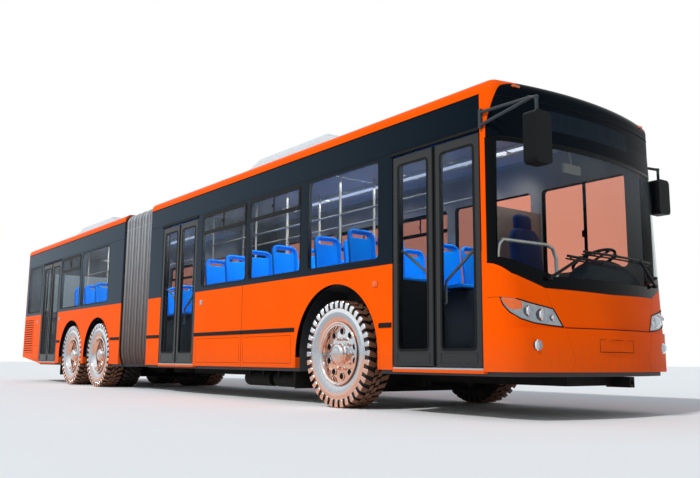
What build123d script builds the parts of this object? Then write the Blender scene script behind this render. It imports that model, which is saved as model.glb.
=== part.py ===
# Articulated city bus in two sections on three axles, with large off-road tyres.
# Millimetres. X forward, Y left, Z up, origin under the middle of the bounding box on the ground.
# Stations are distances measured back from the tip of the nose.
import os
from math import atan2, cos, degrees, hypot, pi, radians, sin, sqrt, tan

from build123d import *

os.makedirs("parts", exist_ok=True)

# Body
BODY_WIDTH = 2500.0
BODY_LENGTH = 15380.0
WALL = 60.0
ROOF_TOP = 3065.0
ROOF_SKIN = 60.0
ROOF_EDGE_R = 110.0
CANT_Z = 2925.0
SILL_Z = 1477.0
SKIRT_Z = 421.0
SEAM = 4.0
SEAT_GAP = 0.3

# Nose and tail: where the corner curves start, how far they reach, how strongly they bow
NOSE_ROOT = 440.0
BUMPER_TOP = 800.0
BUMPER_STEP = 25.0
BROW_Z = 2700.0
BROW_SETBACK = 164.0
NOSE_BOW_R = 3500.0
BROW_BOW_R = 4500.0
TAIL_DEPTH = 330.0
TAIL_RAKE = 130.0
TAIL_BOW_R = 6000.0
TAIL_TOP_BOW_R = 9000.0
TAIL_LOW_Z = 580.0
TAIL_FOOT_RISE = 20.0
TAIL_RISE = 1530.0

# Screen, lamps and panel seams as seen from the front
SCREEN_LOW = 1130.0
SCREEN_LOW_HALF = 830.0
SCREEN_CORNER_Z = 1380.0
SCREEN_TOP = 2500.0
SCREEN_GLASS = 14.0
FOG_Y = 965.0
FOG_Z = 650.0
FOG_R = 46.0
PLATE_W = 560.0
PLATE_H = 146.0
PLATE_Z = 628.0
PLATE_DEPTH = 8.0

# Doors
DOOR_W = 1216.0
DOOR_HEAD = 2578.0
DOOR_FOOT = 462.0
DOOR_T = 40.0
DOOR_STILE = 78.0
DOOR_RAIL_TOP = 90.0
DOOR_RAIL_FOOT = 150.0
DOOR_EDGE_GAP = 9.0
DOOR_MID_GAP = 24.0
DOOR_GLASS = 10.0
GEAR_D = 190.0
GEAR_Z = 2800.0
POST_R = 18.0
POST_IN = 40.0
DOORS = {"front": 501.0, "middle": 6133.0, "rear": 12586.0}

# Windows: station of the front and rear edge
PANE = 10.0
WINDOW_LOW = 1545.0
WINDOW_TOP = 2590.0
WINDOW_R = 55.0
FRONT_RIGHT_WINDOWS = [(1930.0, 3245.0), (3395.0, 4622.0), (4690.0, 5970.0)]
FRONT_LEFT_WINDOWS = [
    (620.0, 1760.0),
    (1930.0, 3245.0),
    (3395.0, 4622.0),
    (4690.0, 5970.0),
    (6040.0, 7560.0),
]
REAR_RIGHT_WINDOWS = [(9720.0, 11205.0), (11300.0, 12500.0), (13920.0, 14900.0)]
REAR_LEFT_WINDOWS = [
    (9250.0, 9640.0),
    (9720.0, 11205.0),
    (11300.0, 12500.0),
    (12590.0, 13800.0),
    (13920.0, 14900.0),
]

# Wheels
AXLE_Z = 583.0
TYRE_R = 583.0
TYRE_W = 325.0
TYRE_BEAD_R = 338.0
TYRE_TOE = 12.0
TYRE_FACE = 1220.0
TWIN_PITCH = 360.0
RIM_WALL = 16.0
HUB_R = 118.0
SPINDLE_R = 55.0
TYRE_SIDES = 24
FRONT_AXLE = 2700.0
REAR_AXLES = [10170.0, 11670.0]
ARCH_R = 757.0
REAR_ARCH_R = 690.0
KINGPIN_Y = 925.0
KINGPIN_R = 30.0
STEER_DEG = 40.0

# Floor and inside
FLOOR_TOP = 445.0
FLOOR_T = 65.0
HOUSING = 18.0
FRONT_HOUSING_Y = 480.0
REAR_HOUSING_Y = 420.0
PODIUM_TOP = 930.0
PODIUM_IN = 330.0
CAB_FLOOR = 760.0
CAB_IN = 190.0
SEAT_W = 420.0
SEAT_PAN = 1425.0
SEAT_BACK_TOP = 1975.0
SEAT_T = 42.0
SEAT_DEPTH = 400.0
RAIL_R = 17.0

# Articulation
JOINT_FRONT = 7842.0
JOINT_LENGTH = 1189.0
FOLDS = 11
FOLD_DEPTH = 55.0
BELLOWS_SKIN = 22.0
BELLOWS_IN = 16.0
RING_R = 420.0
RING_PIN_R = 90.0

# Engine bay, from its front wall to the end of the body
BAY_LENGTH = 1520.0

# Underframe
RAIL_Y = 330.0
RAIL_W = 80.0
RAIL_H = 90.0

# Mirrors and roof units
MIRROR_LEAD = 330.0
MIRROR_REACH = 1490.0
MIRROR_W = 205.0
MIRROR_H = 440.0
MIRROR_D = 130.0
POD_TOP = 3270.0
POD_HALF = 800.0
FRONT_POD = (2830.0, 5200.0)
REAR_POD = (9990.0, 12440.0)

HALF = BODY_WIDTH / 2
TAIL_ROOT = BODY_LENGTH - TAIL_DEPTH
TAIL_RISE_START = BODY_LENGTH - TAIL_RISE
INNER = HALF - WALL
ROOF_IN = ROOF_TOP - ROOF_SKIN
FLOOR_LOW = FLOOR_TOP - FLOOR_T
JOINT_REAR = JOINT_FRONT + JOINT_LENGTH
PIVOT = JOINT_FRONT + JOINT_LENGTH / 2
NOSE_X = (BODY_LENGTH - MIRROR_LEAD) / 2
TYRE_IN = TYRE_FACE - TYRE_W
TYRE_MID = TYRE_FACE - TYRE_W / 2


def at(station):
    return NOSE_X - station


def block(s0, s1, y0, y1, z0, z1):
    size = (abs(s1 - s0), abs(y1 - y0), abs(z1 - z0))
    return Pos((at(s0) + at(s1)) / 2, (y0 + y1) / 2, (z0 + z1) / 2) * Box(*size)


def fuse(shapes):
    shapes = list(shapes)
    return shapes[0].fuse(*shapes[1:]) if len(shapes) > 1 else shapes[0]


def group(shapes):
    solids = []
    for shape in shapes:
        solids.extend(shape.solids())
    return Compound(children=solids)


def tube(start, end, radius):
    start, end = Vector(*start), Vector(*end)
    run = end - start
    return Solid.make_cylinder(radius, run.length, Plane(origin=start, z_dir=run))


def side_prism(points, y0, y1):
    outline = [(at(s), z) for s, z in points]
    face = make_face(Polyline(*outline, close=True))
    return Pos(0, max(y0, y1), 0) * extrude(Plane.XZ * face, abs(y1 - y0))


def front_prism(points, s0, s1):
    face = make_face(Polyline(*points, close=True))
    return Pos(at(max(s0, s1)), 0, 0) * extrude(Plane.YZ * face, abs(s1 - s0))


def rounded_window(s0, s1, z0, z1, radius, y0, y1):
    face = RectangleRounded(abs(s1 - s0), abs(z1 - z0), radius)
    face = Pos((at(s0) + at(s1)) / 2, (z0 + z1) / 2) * face
    return Pos(0, max(y0, y1), 0) * extrude(Plane.XZ * face, abs(y1 - y0))


def save(name, shape):
    export_step(shape, f"parts/{name}.step")


# Outline of a body end in plan: a shallow bow between two corner arcs that run into the sides.
def end_outline(depth, bow_r, inset, back):
    corner_r = (2 * bow_r * depth - depth ** 2 - HALF ** 2) / (2 * (bow_r - HALF))
    bow_x = depth - bow_r
    corner_y = HALF - corner_r
    span = bow_r - corner_r
    ux, uy = -bow_x / span, corner_y / span
    bow_in, corner_in = bow_r - inset, corner_r - inset
    touch = (bow_x + bow_in * ux, bow_in * uy)
    turn = (pi / 2 + atan2(uy, ux)) / 2
    middle = (corner_in * cos(turn), corner_y + corner_in * sin(turn))
    side = HALF - inset
    right = Line((-back, -side), (0, -side))
    corner_a = ThreePointArc((0, -side), (middle[0], -middle[1]), (touch[0], -touch[1]))
    bow = ThreePointArc((touch[0], -touch[1]), (depth - inset, 0), touch)
    corner_b = ThreePointArc(touch, middle, (0, side))
    left = Line((0, side), (-back, side))
    close = Line((-back, side), (-back, -side))
    return make_face([right, corner_a, bow, corner_b, left, close]), corner_in


def raised(face, z):
    return Pos(0, 0, z) * face


# Solid body end: straight foot, leaning middle, upright top with a rounded edge.
def end_solid(foot, lean, top, inset, low, high, back):
    pieces = []
    if foot:
        face, _ = end_outline(foot[0], foot[1], inset, back)
        pieces.append(extrude(raised(face, low), foot[2] - low))
        low = foot[2]
    face_a, _ = end_outline(lean[0], lean[1], inset, back)
    face_b, corner = end_outline(top[0], top[1], inset, back)
    pieces.append(loft([raised(face_a, low), raised(face_b, top[2])], ruled=True))
    crown = extrude(raised(face_b, top[2]), high - top[2])
    rim = crown.faces().sort_by(Axis.Z)[-1]
    rear_x = -back
    edges = [e for e in rim.edges() if abs(e.center().X - rear_x) > 1]
    radius = min(ROOF_EDGE_R - inset * 0.6, corner * 0.9)
    pieces.append(fillet(edges, radius))
    return fuse(pieces)


def nose_solid(inset, low, high, back):
    foot = (NOSE_ROOT, NOSE_BOW_R, BUMPER_TOP)
    lean = (NOSE_ROOT - BUMPER_STEP, NOSE_BOW_R)
    top = (NOSE_ROOT - BROW_SETBACK, BROW_BOW_R, BROW_Z)
    return Pos(at(NOSE_ROOT), 0, 0) * end_solid(foot, lean, top, inset, low, high, back)


def tail_solid(inset, low, high, back):
    depth = BODY_LENGTH - TAIL_ROOT
    lean = (depth, TAIL_BOW_R)
    top = (depth - TAIL_RAKE, TAIL_TOP_BOW_R, BROW_Z)
    foot = (depth, TAIL_BOW_R, TAIL_LOW_Z + TAIL_FOOT_RISE)
    shape = end_solid(foot, lean, top, inset, low, high, back)
    return Pos(at(TAIL_ROOT), 0, 0) * Rot(0, 0, 180) * shape


# Nose: one shell, cut as seen from the front into bumper pieces, hatch, corners, screen and dome.
END_LAP = 50.0
nose_outer = nose_solid(0, SKIRT_Z, ROOF_TOP, END_LAP)
nose_outer -= block(NOSE_ROOT, NOSE_ROOT + 2 * END_LAP, -2 * HALF, 2 * HALF, 0, 2 * ROOF_TOP)
nose_inner = nose_solid(WALL, SKIRT_Z - END_LAP, ROOF_IN, END_LAP)
nose_shell = nose_outer - nose_inner

GLAZED = [
    (-HALF - 20, SCREEN_CORNER_Z),
    (-1150, 1266),
    (-SCREEN_LOW_HALF, SCREEN_LOW + 18),
    (0, SCREEN_LOW),
    (SCREEN_LOW_HALF, SCREEN_LOW + 18),
    (1150, 1266),
    (HALF + 20, SCREEN_CORNER_Z),
    (HALF + 20, ROOF_TOP + 20),
    (-HALF - 20, ROOF_TOP + 20),
]
LAMP = [
    (672, 813),
    (843, 826),
    (977, 842),
    (1101, 877),
    (1173, 928),
    (1206, 986),
    (1222, 1056),
    (1110, 1042),
    (998, 1013),
    (765, 968),
]
BUMPER_SEAM = [(672, 806), (570, 536), (605, 470), (605, SKIRT_Z - 5)]
HATCH_SEAM = [(672, 806), (765, 968), (SCREEN_LOW_HALF + 28, SCREEN_LOW + 40)]
LEDGE_SEAM = [(-672, 806), (672, 806)]
CORNER_SEAM = [(1215, 1060), (HALF + 20, 1060)]


def mirrored(points):
    return [(-y, z) for y, z in points]


def grown(points, amount):
    cy = sum(p[0] for p in points) / len(points)
    cz = sum(p[1] for p in points) / len(points)
    moved = []
    for y, z in points:
        reach = hypot(y - cy, z - cz)
        moved.append((y + (y - cy) / reach * amount, z + (z - cz) / reach * amount))
    return moved


def seam_slots(points):
    slots = []
    for (y0, z0), (y1, z1) in zip(points, points[1:]):
        length = hypot(y1 - y0, z1 - z0) + SEAM
        angle = degrees(atan2(z1 - z0, y1 - y0))
        bar = Rot(angle, 0, 0) * Box(NOSE_ROOT * 2, length, SEAM)
        slots.append(Pos(at(NOSE_ROOT) + NOSE_ROOT, (y0 + y1) / 2, (z0 + z1) / 2) * bar)
    return slots


glazed = front_prism(GLAZED, -100, NOSE_ROOT)
face_shell = nose_shell - glazed
cutters = []
for points in (LAMP, mirrored(LAMP)):
    cutters.append(front_prism(grown(points, SEAM), -100, NOSE_ROOT))
for points in (BUMPER_SEAM, HATCH_SEAM, CORNER_SEAM):
    cutters.extend(seam_slots(points))
    cutters.extend(seam_slots(mirrored(points)))
cutters.extend(seam_slots(LEDGE_SEAM))
for side in (-1, 1):
    fog_ends = (at(NOSE_ROOT), side * FOG_Y, FOG_Z), (at(-100), side * FOG_Y, FOG_Z)
    cutters.append(tube(*fog_ends, FOG_R + SEAT_GAP))
plate_z = (PLATE_Z - PLATE_H / 2, PLATE_Z + PLATE_H / 2)
cutters.append(block(-50, PLATE_DEPTH, -PLATE_W / 2, PLATE_W / 2, *plate_z))
save("front_panels", group((face_shell - cutters).solids()))

lamp_solids = []
for points in (LAMP, mirrored(LAMP)):
    lamp_solids.append(nose_shell & front_prism(points, -100, NOSE_ROOT))
for side in (-1, 1):
    bar = tube((at(NOSE_ROOT), side * FOG_Y, FOG_Z), (at(-100), side * FOG_Y, FOG_Z), FOG_R)
    lamp_solids.append(nose_shell & bar)
save("headlamps", group(lamp_solids))

screen_skin = nose_outer - nose_solid(SCREEN_GLASS, SKIRT_Z - END_LAP, ROOF_IN, END_LAP)
screen_area = glazed & block(-100, NOSE_ROOT, -HALF - 50, HALF + 50, 900, SCREEN_TOP)
save("windscreen", screen_skin & screen_area)
header_area = block(-100, NOSE_ROOT, -HALF - 50, HALF + 50, SCREEN_TOP + SEAM, ROOF_TOP + 50)
save("front_header", nose_shell & header_area)


# Side walls: one plate per section and side, with windows, door openings and wheel arches cut.
def wall_plate(side, s0, s1):
    return block(s0, s1, side * INNER, side * HALF, SKIRT_Z, CANT_Z)


def arch_cutter(axle, radius):
    ring = Pos(at(axle), 0, AXLE_Z) * Rot(90, 0, 0) * Cylinder(radius, 4 * HALF)
    leg = block(axle - radius, axle + radius, -2 * HALF, 2 * HALF, -10, AXLE_Z)
    return ring + leg


def window_cuts(side, windows):
    cuts = []
    for s0, s1 in windows:
        depth = (side * (INNER - 20), side * (HALF + 20))
        cuts.append(rounded_window(s0, s1, WINDOW_LOW, WINDOW_TOP, WINDOW_R, *depth))
    return cuts


def door_cut(s0):
    return block(s0, s0 + DOOR_W, -HALF - 20, -INNER + 20, SKIRT_Z - 10, DOOR_HEAD)


def panes(side, windows):
    made = []
    for s0, s1 in windows:
        depth = (side * (HALF - PANE), side * HALF)
        made.append(rounded_window(s0, s1, WINDOW_LOW, WINDOW_TOP, WINDOW_R, *depth))
    return made


front_arch = arch_cutter(FRONT_AXLE, ARCH_R)
rear_arches = [arch_cutter(axle, REAR_ARCH_R) for axle in REAR_AXLES]
tail_rise = side_prism(
    [
        (TAIL_RISE_START, SKIRT_Z - 60),
        (TAIL_RISE_START, SKIRT_Z),
        (BODY_LENGTH + 50, TAIL_LOW_Z),
        (BODY_LENGTH + 50, 300),
    ],
    -HALF - 50,
    HALF + 50,
)

# Box over each doorway, on the inside of the wall, that holds the door gear.
def gear_box(s0):
    return block(s0, s0 + DOOR_W, -INNER, -INNER + GEAR_D, GEAR_Z, CANT_Z)


front_right = wall_plate(-1, NOSE_ROOT, JOINT_FRONT)
front_door_cuts = [door_cut(DOORS["front"]), door_cut(DOORS["middle"])]
front_right -= window_cuts(-1, FRONT_RIGHT_WINDOWS) + front_door_cuts + [front_arch]
save("front_wall_right", fuse([front_right, gear_box(DOORS["front"]), gear_box(DOORS["middle"])]))
front_left = wall_plate(1, NOSE_ROOT, JOINT_FRONT)
front_left -= window_cuts(1, FRONT_LEFT_WINDOWS) + [front_arch]
save("front_wall_left", group(front_left.solids()))
rear_right = wall_plate(-1, JOINT_REAR, TAIL_ROOT)
rear_right -= window_cuts(-1, REAR_RIGHT_WINDOWS) + [door_cut(DOORS["rear"]), tail_rise] + rear_arches
save("rear_wall_right", fuse([rear_right, gear_box(DOORS["rear"])]))
rear_left = wall_plate(1, JOINT_REAR, TAIL_ROOT)
rear_left -= window_cuts(1, REAR_LEFT_WINDOWS) + [tail_rise] + rear_arches
save("rear_wall_left", group(rear_left.solids()))
save("front_side_glass", group(panes(-1, FRONT_RIGHT_WINDOWS) + panes(1, FRONT_LEFT_WINDOWS)))


# Roofs: a tray with rounded edges over each section.
def roof_tray(s0, s1):
    outer = Polyline((-HALF, CANT_Z), (-HALF, ROOF_TOP), (HALF, ROOF_TOP), (HALF, CANT_Z), close=True)
    shape = extrude(Plane.YZ * make_face(outer), s1 - s0)
    edges = [e for e in shape.edges().filter_by(Axis.X) if e.center().Z > CANT_Z + 1]
    shape = fillet(edges, ROOF_EDGE_R)
    corners = [(-INNER, CANT_Z - 9), (-INNER, ROOF_IN), (INNER, ROOF_IN), (INNER, CANT_Z - 9)]
    inner = Polyline(*corners, close=True)
    hollow = extrude(Plane.YZ * make_face(inner), s1 - s0)
    edges = [e for e in hollow.edges().filter_by(Axis.X) if e.center().Z > CANT_Z]
    hollow = fillet(edges, ROOF_EDGE_R - WALL)
    return Pos(at(s1), 0, 0) * (shape - hollow)


def roof_unit(s0, s1):
    low, high = (at(s1) + at(s0)) / 2, s1 - s0
    base = Pos(low, 0, ROOF_TOP) * RectangleRounded(high, 2 * POD_HALF, 120)
    crown = Pos(low, 0, POD_TOP) * RectangleRounded(high - 160, 2 * POD_HALF - 160, 60)
    return loft([base, crown], ruled=True)


save("front_roof", roof_tray(NOSE_ROOT, JOINT_FRONT))
save("rear_roof", roof_tray(JOINT_REAR, TAIL_ROOT))
save("front_roof_unit", roof_unit(*FRONT_POD))
save("rear_roof_unit", roof_unit(*REAR_POD))

# Tail: shell with a rear window and an engine opening closed by a lid hinged at its top edge.
TAIL_WINDOW = (900.0, 1640.0, 2560.0)
LID = (880.0, 640.0, 1380.0)
LID_GAP = 6.0
LID_T = 30.0
tail_outer = tail_solid(0, SKIRT_Z, ROOF_TOP, END_LAP)
tail_outer -= block(TAIL_ROOT - 2 * END_LAP, TAIL_ROOT, -2 * HALF, 2 * HALF, 0, 2 * ROOF_TOP)
tail_shell = tail_outer - tail_solid(WALL, SKIRT_Z - END_LAP, ROOF_IN, END_LAP) - tail_rise
tail_skin = tail_outer - tail_solid(LID_T, SKIRT_Z - END_LAP, ROOF_IN, END_LAP)


def tail_area(half, z0, z1):
    return block(TAIL_ROOT + 20, BODY_LENGTH + 60, -half, half, z0, z1)


TAIL_LAMP = (1010.0, 1130.0, 800.0, 1240.0)
lamp_areas = []
lamp_fills = []
for side in (-1, 1):
    y0, y1, z0, z1 = TAIL_LAMP
    for gap, areas in ((SEAT_GAP, lamp_areas), (0, lamp_fills)):
        inner, outer = side * (y0 - gap), side * (y1 + gap)
        areas.append(block(TAIL_ROOT + 20, BODY_LENGTH + 60, inner, outer, z0 - gap, z1 + gap))
lid_opening = tail_area(LID[0] + LID_GAP, LID[1] - LID_GAP, LID[2] + LID_GAP)
rear_panel = tail_shell - [tail_area(*TAIL_WINDOW), lid_opening]
rear_panel = rear_panel - lamp_areas

# Engine lid: thin skin on two hinges at its outer top edge. Each hinge is a barrel on the lid
# that turns on a pin between two eyes; the eyes stand on the panel above.
TAIL_FOOT_Z = TAIL_LOW_Z + TAIL_FOOT_RISE
LID_PIN_R = 8.0
LID_BARREL_R = 14.0
LID_PIN_Z = LID[2]
LID_PIN_S = BODY_LENGTH - TAIL_RAKE * (LID_PIN_Z - TAIL_FOOT_Z) / (BROW_Z - TAIL_FOOT_Z)
LID_HINGE_Y = 300.0
LID_HINGE_W = 120.0
LID_EYE_W = 16.0
LID_ARM = (50.0, 24.0)
LID_EYE_RISE = 40.0


def lid_rod(y_mid, width, radius):
    start = (at(LID_PIN_S), y_mid - width / 2, LID_PIN_Z)
    end = (at(LID_PIN_S), y_mid + width / 2, LID_PIN_Z)
    return tube(start, end, radius)


lid = tail_skin & tail_area(*LID)
lid_adds = []
panel_adds = []
pin_bores = []
for y in (-LID_HINGE_Y, LID_HINGE_Y):
    y0, y1 = y - LID_ARM[0] / 2, y + LID_ARM[0] / 2
    lid_adds.append(block(LID_PIN_S - LID_T, LID_PIN_S, y0, y1, LID_PIN_Z - LID_ARM[1], LID_PIN_Z))
    lid_adds.append(lid_rod(y, LID_HINGE_W, LID_BARREL_R))
    pin_bores.append(lid_rod(y, LID_HINGE_W + 2, LID_PIN_R + SEAT_GAP))
    rear_panel -= lid_rod(y, LID_HINGE_W + 2 * LID_GAP, LID_BARREL_R + LID_GAP)
    panel_adds.append(lid_rod(y, LID_HINGE_W + 2 * LID_GAP + 2 * LID_EYE_W, LID_PIN_R))
    for side in (-1, 1):
        eye_y = y + side * (LID_HINGE_W / 2 + LID_GAP + LID_EYE_W / 2)
        e0, e1 = eye_y - LID_EYE_W / 2, eye_y + LID_EYE_W / 2
        low, high = LID_PIN_Z + LID_GAP, LID_PIN_Z + LID_EYE_RISE
        panel_adds.append(lid_rod(eye_y, LID_EYE_W, LID_BARREL_R))
        eye_s = (LID_PIN_S - LID_BARREL_R, LID_PIN_S + LID_BARREL_R)
        panel_adds.append(block(*eye_s, e0, e1, LID_PIN_Z, high))
        panel_adds.append(block(LID_PIN_S - WALL, LID_PIN_S, e0, e1, low, high))
        lid -= lid_rod(eye_y, LID_EYE_W + 2 * LID_GAP, LID_BARREL_R + LID_GAP)
rear_panel = fuse([rear_panel] + panel_adds)
lid_pieces = fuse([lid] + lid_adds) - pin_bores
save("engine_lid", lid_pieces)
save("rear_panel", group(rear_panel.solids()))
glass_skin = tail_outer - tail_solid(PANE, SKIRT_Z - END_LAP, ROOF_IN, END_LAP)
rear_pane = glass_skin & tail_area(*TAIL_WINDOW)
save("rear_side_glass", group(panes(-1, REAR_RIGHT_WINDOWS) + panes(1, REAR_LEFT_WINDOWS) + [rear_pane]))
roof_lamps = []
for side in (-1, 1):
    lamp_s = (TAIL_ROOT - 110, TAIL_ROOT + 10)
    roof_lamps.append(block(*lamp_s, side * 930, side * 1050, ROOF_TOP, ROOF_TOP + 45))
save("tail_lamps", group([tail_shell & fill for fill in lamp_fills] + roof_lamps))

# Doors: two leaves each, every leaf turning inwards on an upright post beside its outer edge.
def door_leaf(s0, hand):
    width = (DOOR_W - DOOR_MID_GAP) / 2 - DOOR_EDGE_GAP
    edge = s0 + DOOR_EDGE_GAP if hand > 0 else s0 + DOOR_W - DOOR_EDGE_GAP
    y_out, y_in = -HALF + 4, -HALF + 4 + DOOR_T
    top = DOOR_HEAD - 12
    leaf = block(edge, edge + hand * width, y_out, y_in, DOOR_FOOT, top)
    hole = [edge + hand * DOOR_STILE, edge + hand * (width - DOOR_STILE)]
    low, high = DOOR_FOOT + DOOR_RAIL_FOOT, top - DOOR_RAIL_TOP
    leaf -= rounded_window(hole[0], hole[1], low, high, 40, y_out - 10, y_in + 10)
    glass = rounded_window(hole[0], hole[1], low, high, 40, y_out, y_out + DOOR_GLASS)
    post_s, post_y = edge + hand * POST_IN, y_in + POST_IN
    post = tube((at(post_s), post_y, FLOOR_TOP + SEAT_GAP), (at(post_s), post_y, GEAR_Z - SEAT_GAP), POST_R)
    arms = []
    for z in (DOOR_FOOT + 60, (DOOR_FOOT + top) / 2, top - 60):
        arms.append(block(post_s - 14, post_s + 14, y_in - 1, post_y, z - 20, z + 20))
    return fuse([leaf, post] + arms), glass


for name, s0 in DOORS.items():
    for hand, label in ((1, "fore"), (-1, "aft")):
        leaf, glass = door_leaf(s0, hand)
        save(f"{name}_door_{label}", leaf)
        save(f"{name}_door_{label}_glass", glass)


# Floor trays with step-free door bays, wheel housings and seat podiums.
def housing(axles, radius, inner_y, side):
    s0, s1 = axles[0] - radius - HOUSING, axles[-1] + radius + HOUSING
    top = AXLE_Z + radius + HOUSING
    outer = block(s0, s1, side * (inner_y - HOUSING), side * INNER, FLOOR_LOW, top)
    across = (side * inner_y, side * (INNER + 5))
    inner = block(s0 + HOUSING, s1 - HOUSING, *across, FLOOR_LOW - 5, top - HOUSING)
    return outer, inner


floor_outline, _ = end_outline(NOSE_ROOT, NOSE_BOW_R, WALL + SEAT_GAP, JOINT_FRONT - NOSE_ROOT)
floor = Pos(at(NOSE_ROOT), 0, FLOOR_LOW) * extrude(floor_outline, FLOOR_T)
pieces = []
for side in (-1, 1):
    outer, inner = housing([FRONT_AXLE], ARCH_R, FRONT_HOUSING_Y, side)
    floor = floor - outer
    pieces.append(outer - inner)
podium_s = FRONT_AXLE + ARCH_R + HOUSING
pieces.append(block(podium_s, DOORS["middle"] - 20, -INNER, -PODIUM_IN, FLOOR_TOP, PODIUM_TOP))
pieces.append(block(podium_s, JOINT_FRONT - 40, PODIUM_IN, INNER, FLOOR_TOP, PODIUM_TOP))
pieces.append(block(560, 1760, CAB_IN, INNER, FLOOR_TOP, CAB_FLOOR))
save("front_floor", group([floor] + pieces))

BAY_S = BODY_LENGTH - BAY_LENGTH
BAY_TOP = 1420.0
rear_floor = block(JOINT_REAR, BAY_S, -INNER, INNER, FLOOR_LOW, FLOOR_TOP)
pieces = []
for side in (-1, 1):
    outer, inner = housing(REAR_AXLES, REAR_ARCH_R, REAR_HOUSING_Y, side)
    rear_floor = rear_floor - outer
    pieces.append(outer - inner)
pieces.append(block(BAY_S - 40, BAY_S, -INNER, INNER, FLOOR_LOW, BAY_TOP))
pieces.append(block(BAY_S - 40, TAIL_ROOT, -INNER, INNER, BAY_TOP - 40, BAY_TOP))
housing_end = REAR_AXLES[-1] + REAR_ARCH_R + HOUSING
pieces.append(block(housing_end, BAY_S - 40, PODIUM_IN, INNER, FLOOR_TOP, PODIUM_TOP))
save("rear_floor", fuse([rear_floor] + pieces))


# Seats: a shell of pan and back with a grab slot, on a pedestal.
def seat(back_s, y, base_z):
    pan_front = back_s - SEAT_DEPTH
    lean = 55.0
    profile = [
        (pan_front, SEAT_PAN - SEAT_T),
        (pan_front, SEAT_PAN),
        (back_s - SEAT_T, SEAT_PAN),
        (back_s - SEAT_T + lean, SEAT_BACK_TOP),
        (back_s + lean, SEAT_BACK_TOP),
        (back_s, SEAT_PAN - SEAT_T),
    ]
    shell = side_prism(profile, y - SEAT_W / 2, y + SEAT_W / 2)
    slot = block(back_s - 60, back_s + lean + 40, y - 110, y + 110, SEAT_BACK_TOP - 95, SEAT_BACK_TOP - 50)
    stand = block(back_s - 300, back_s - 110, y - 90, y + 90, base_z, SEAT_PAN - SEAT_T)
    return (shell - slot).fuse(stand)


FRONT_HOUSE_TOP = AXLE_Z + ARCH_R + HOUSING
REAR_HOUSE_TOP = AXLE_Z + REAR_ARCH_R + HOUSING
SEAT_OUT = INNER - SEAT_W / 2 - 12
SEAT_AISLE = SEAT_OUT - SEAT_W - 14
FRONT_ROWS = [
    ("right", 2560.0, FRONT_HOUSE_TOP),
    ("right", 3210.0, FRONT_HOUSE_TOP),
    ("right", 4155.0, PODIUM_TOP),
    ("right", 4780.0, PODIUM_TOP),
    ("right", 5400.0, PODIUM_TOP),
    ("right", 6010.0, PODIUM_TOP),
    ("left", 2700.0, FRONT_HOUSE_TOP),
    ("left", 3350.0, FRONT_HOUSE_TOP),
    ("left", 4155.0, PODIUM_TOP),
    ("left", 4880.0, PODIUM_TOP),
    ("left", 5600.0, PODIUM_TOP),
    ("left", 6320.0, PODIUM_TOP),
    ("left", 7040.0, PODIUM_TOP),
]
REAR_ROWS = [
    ("right", 10640.0, REAR_HOUSE_TOP),
    ("right", 11240.0, REAR_HOUSE_TOP),
    ("right", 11840.0, REAR_HOUSE_TOP),
    ("left", 10040.0, REAR_HOUSE_TOP),
    ("left", 10640.0, REAR_HOUSE_TOP),
    ("left", 11240.0, REAR_HOUSE_TOP),
    ("left", 11840.0, REAR_HOUSE_TOP),
    ("left", 12900.0, PODIUM_TOP),
    ("left", 13560.0, PODIUM_TOP),
]


def seat_rows(rows):
    made = []
    for hand, back_s, base in rows:
        side = -1 if hand == "right" else 1
        made.append(seat(back_s, side * SEAT_OUT, base))
        made.append(seat(back_s, side * SEAT_AISLE, base))
    return made


save("front_seats", group(seat_rows(FRONT_ROWS)))
save("rear_seats", group(seat_rows(REAR_ROWS)))

# Upright poles between floor and ceiling, with a long rail carried between them on each side.
POLE_Y = 290.0
POLE_TOP = 2420.0
FRONT_POLES = [2000.0, 3900.0, 5200.0, 6080.0, 7500.0]
REAR_POLES = [9300.0, 10900.0, 12440.0, 13700.0]


def poles(stations):
    made = []
    for side in (-1, 1):
        y = side * POLE_Y
        for s in stations:
            made.append(tube((at(s), y, FLOOR_TOP + SEAT_GAP), (at(s), y, ROOF_IN - SEAT_GAP), RAIL_R))
        for s0, s1 in zip(stations, stations[1:]):
            start = (at(s0) - RAIL_R - SEAT_GAP, y, POLE_TOP)
            end = (at(s1) + RAIL_R + SEAT_GAP, y, POLE_TOP)
            made.append(tube(start, end, RAIL_R - 3))
    return made


save("front_handrails", group(poles(FRONT_POLES)))
save("rear_handrails", group(poles(REAR_POLES)))

# Driver's place on the left: dashboard, wheel on its column, raised seat and a partition behind.
CAB_Y = 600.0
DASH_TOP = 1290.0
dash_outline, _ = end_outline(NOSE_ROOT - BUMPER_STEP, NOSE_BOW_R, WALL + 30, 40)
dash = Pos(at(NOSE_ROOT), 0, 880) * extrude(dash_outline, DASH_TOP - 70 - 880)
dash = dash - block(-50, 600, -HALF, 110, 1090, DASH_TOP)
dash_leg = block(330, 470, -700, 1100, FLOOR_TOP, 900)
dash = dash.fuse(dash_leg)
column = tube((at(455), CAB_Y, 1150), (at(640), CAB_Y, 1560), 32)
wheel_plane = Plane(origin=(at(640), CAB_Y, 1560), z_dir=(-185, 0, 410))
steering = wheel_plane * Torus(225, 16)
spokes = [wheel_plane * Pos(0, 0, 0) * Box(440, 26, 14), wheel_plane * Box(26, 440, 14)]
partition = block(1790, 1820, 180, INNER - 5, FLOOR_TOP, 2300)
save("cab_fittings", group([fuse([dash, column, steering] + spokes), partition]))
cushion = block(1010, 1440, CAB_Y - 240, CAB_Y + 240, 1210, 1330)
back = side_prism([(1400, 1210), (1530, 1210), (1620, 2010), (1510, 2010)], CAB_Y - 235, CAB_Y + 235)
rest = side_prism([(1525, 2010), (1610, 2010), (1630, 2180), (1555, 2180)], CAB_Y - 130, CAB_Y + 130)
stand = block(1130, 1380, CAB_Y - 150, CAB_Y + 150, CAB_FLOOR, 1211)
save("driver_seat", fuse([cushion, back, rest, stand]))


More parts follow.
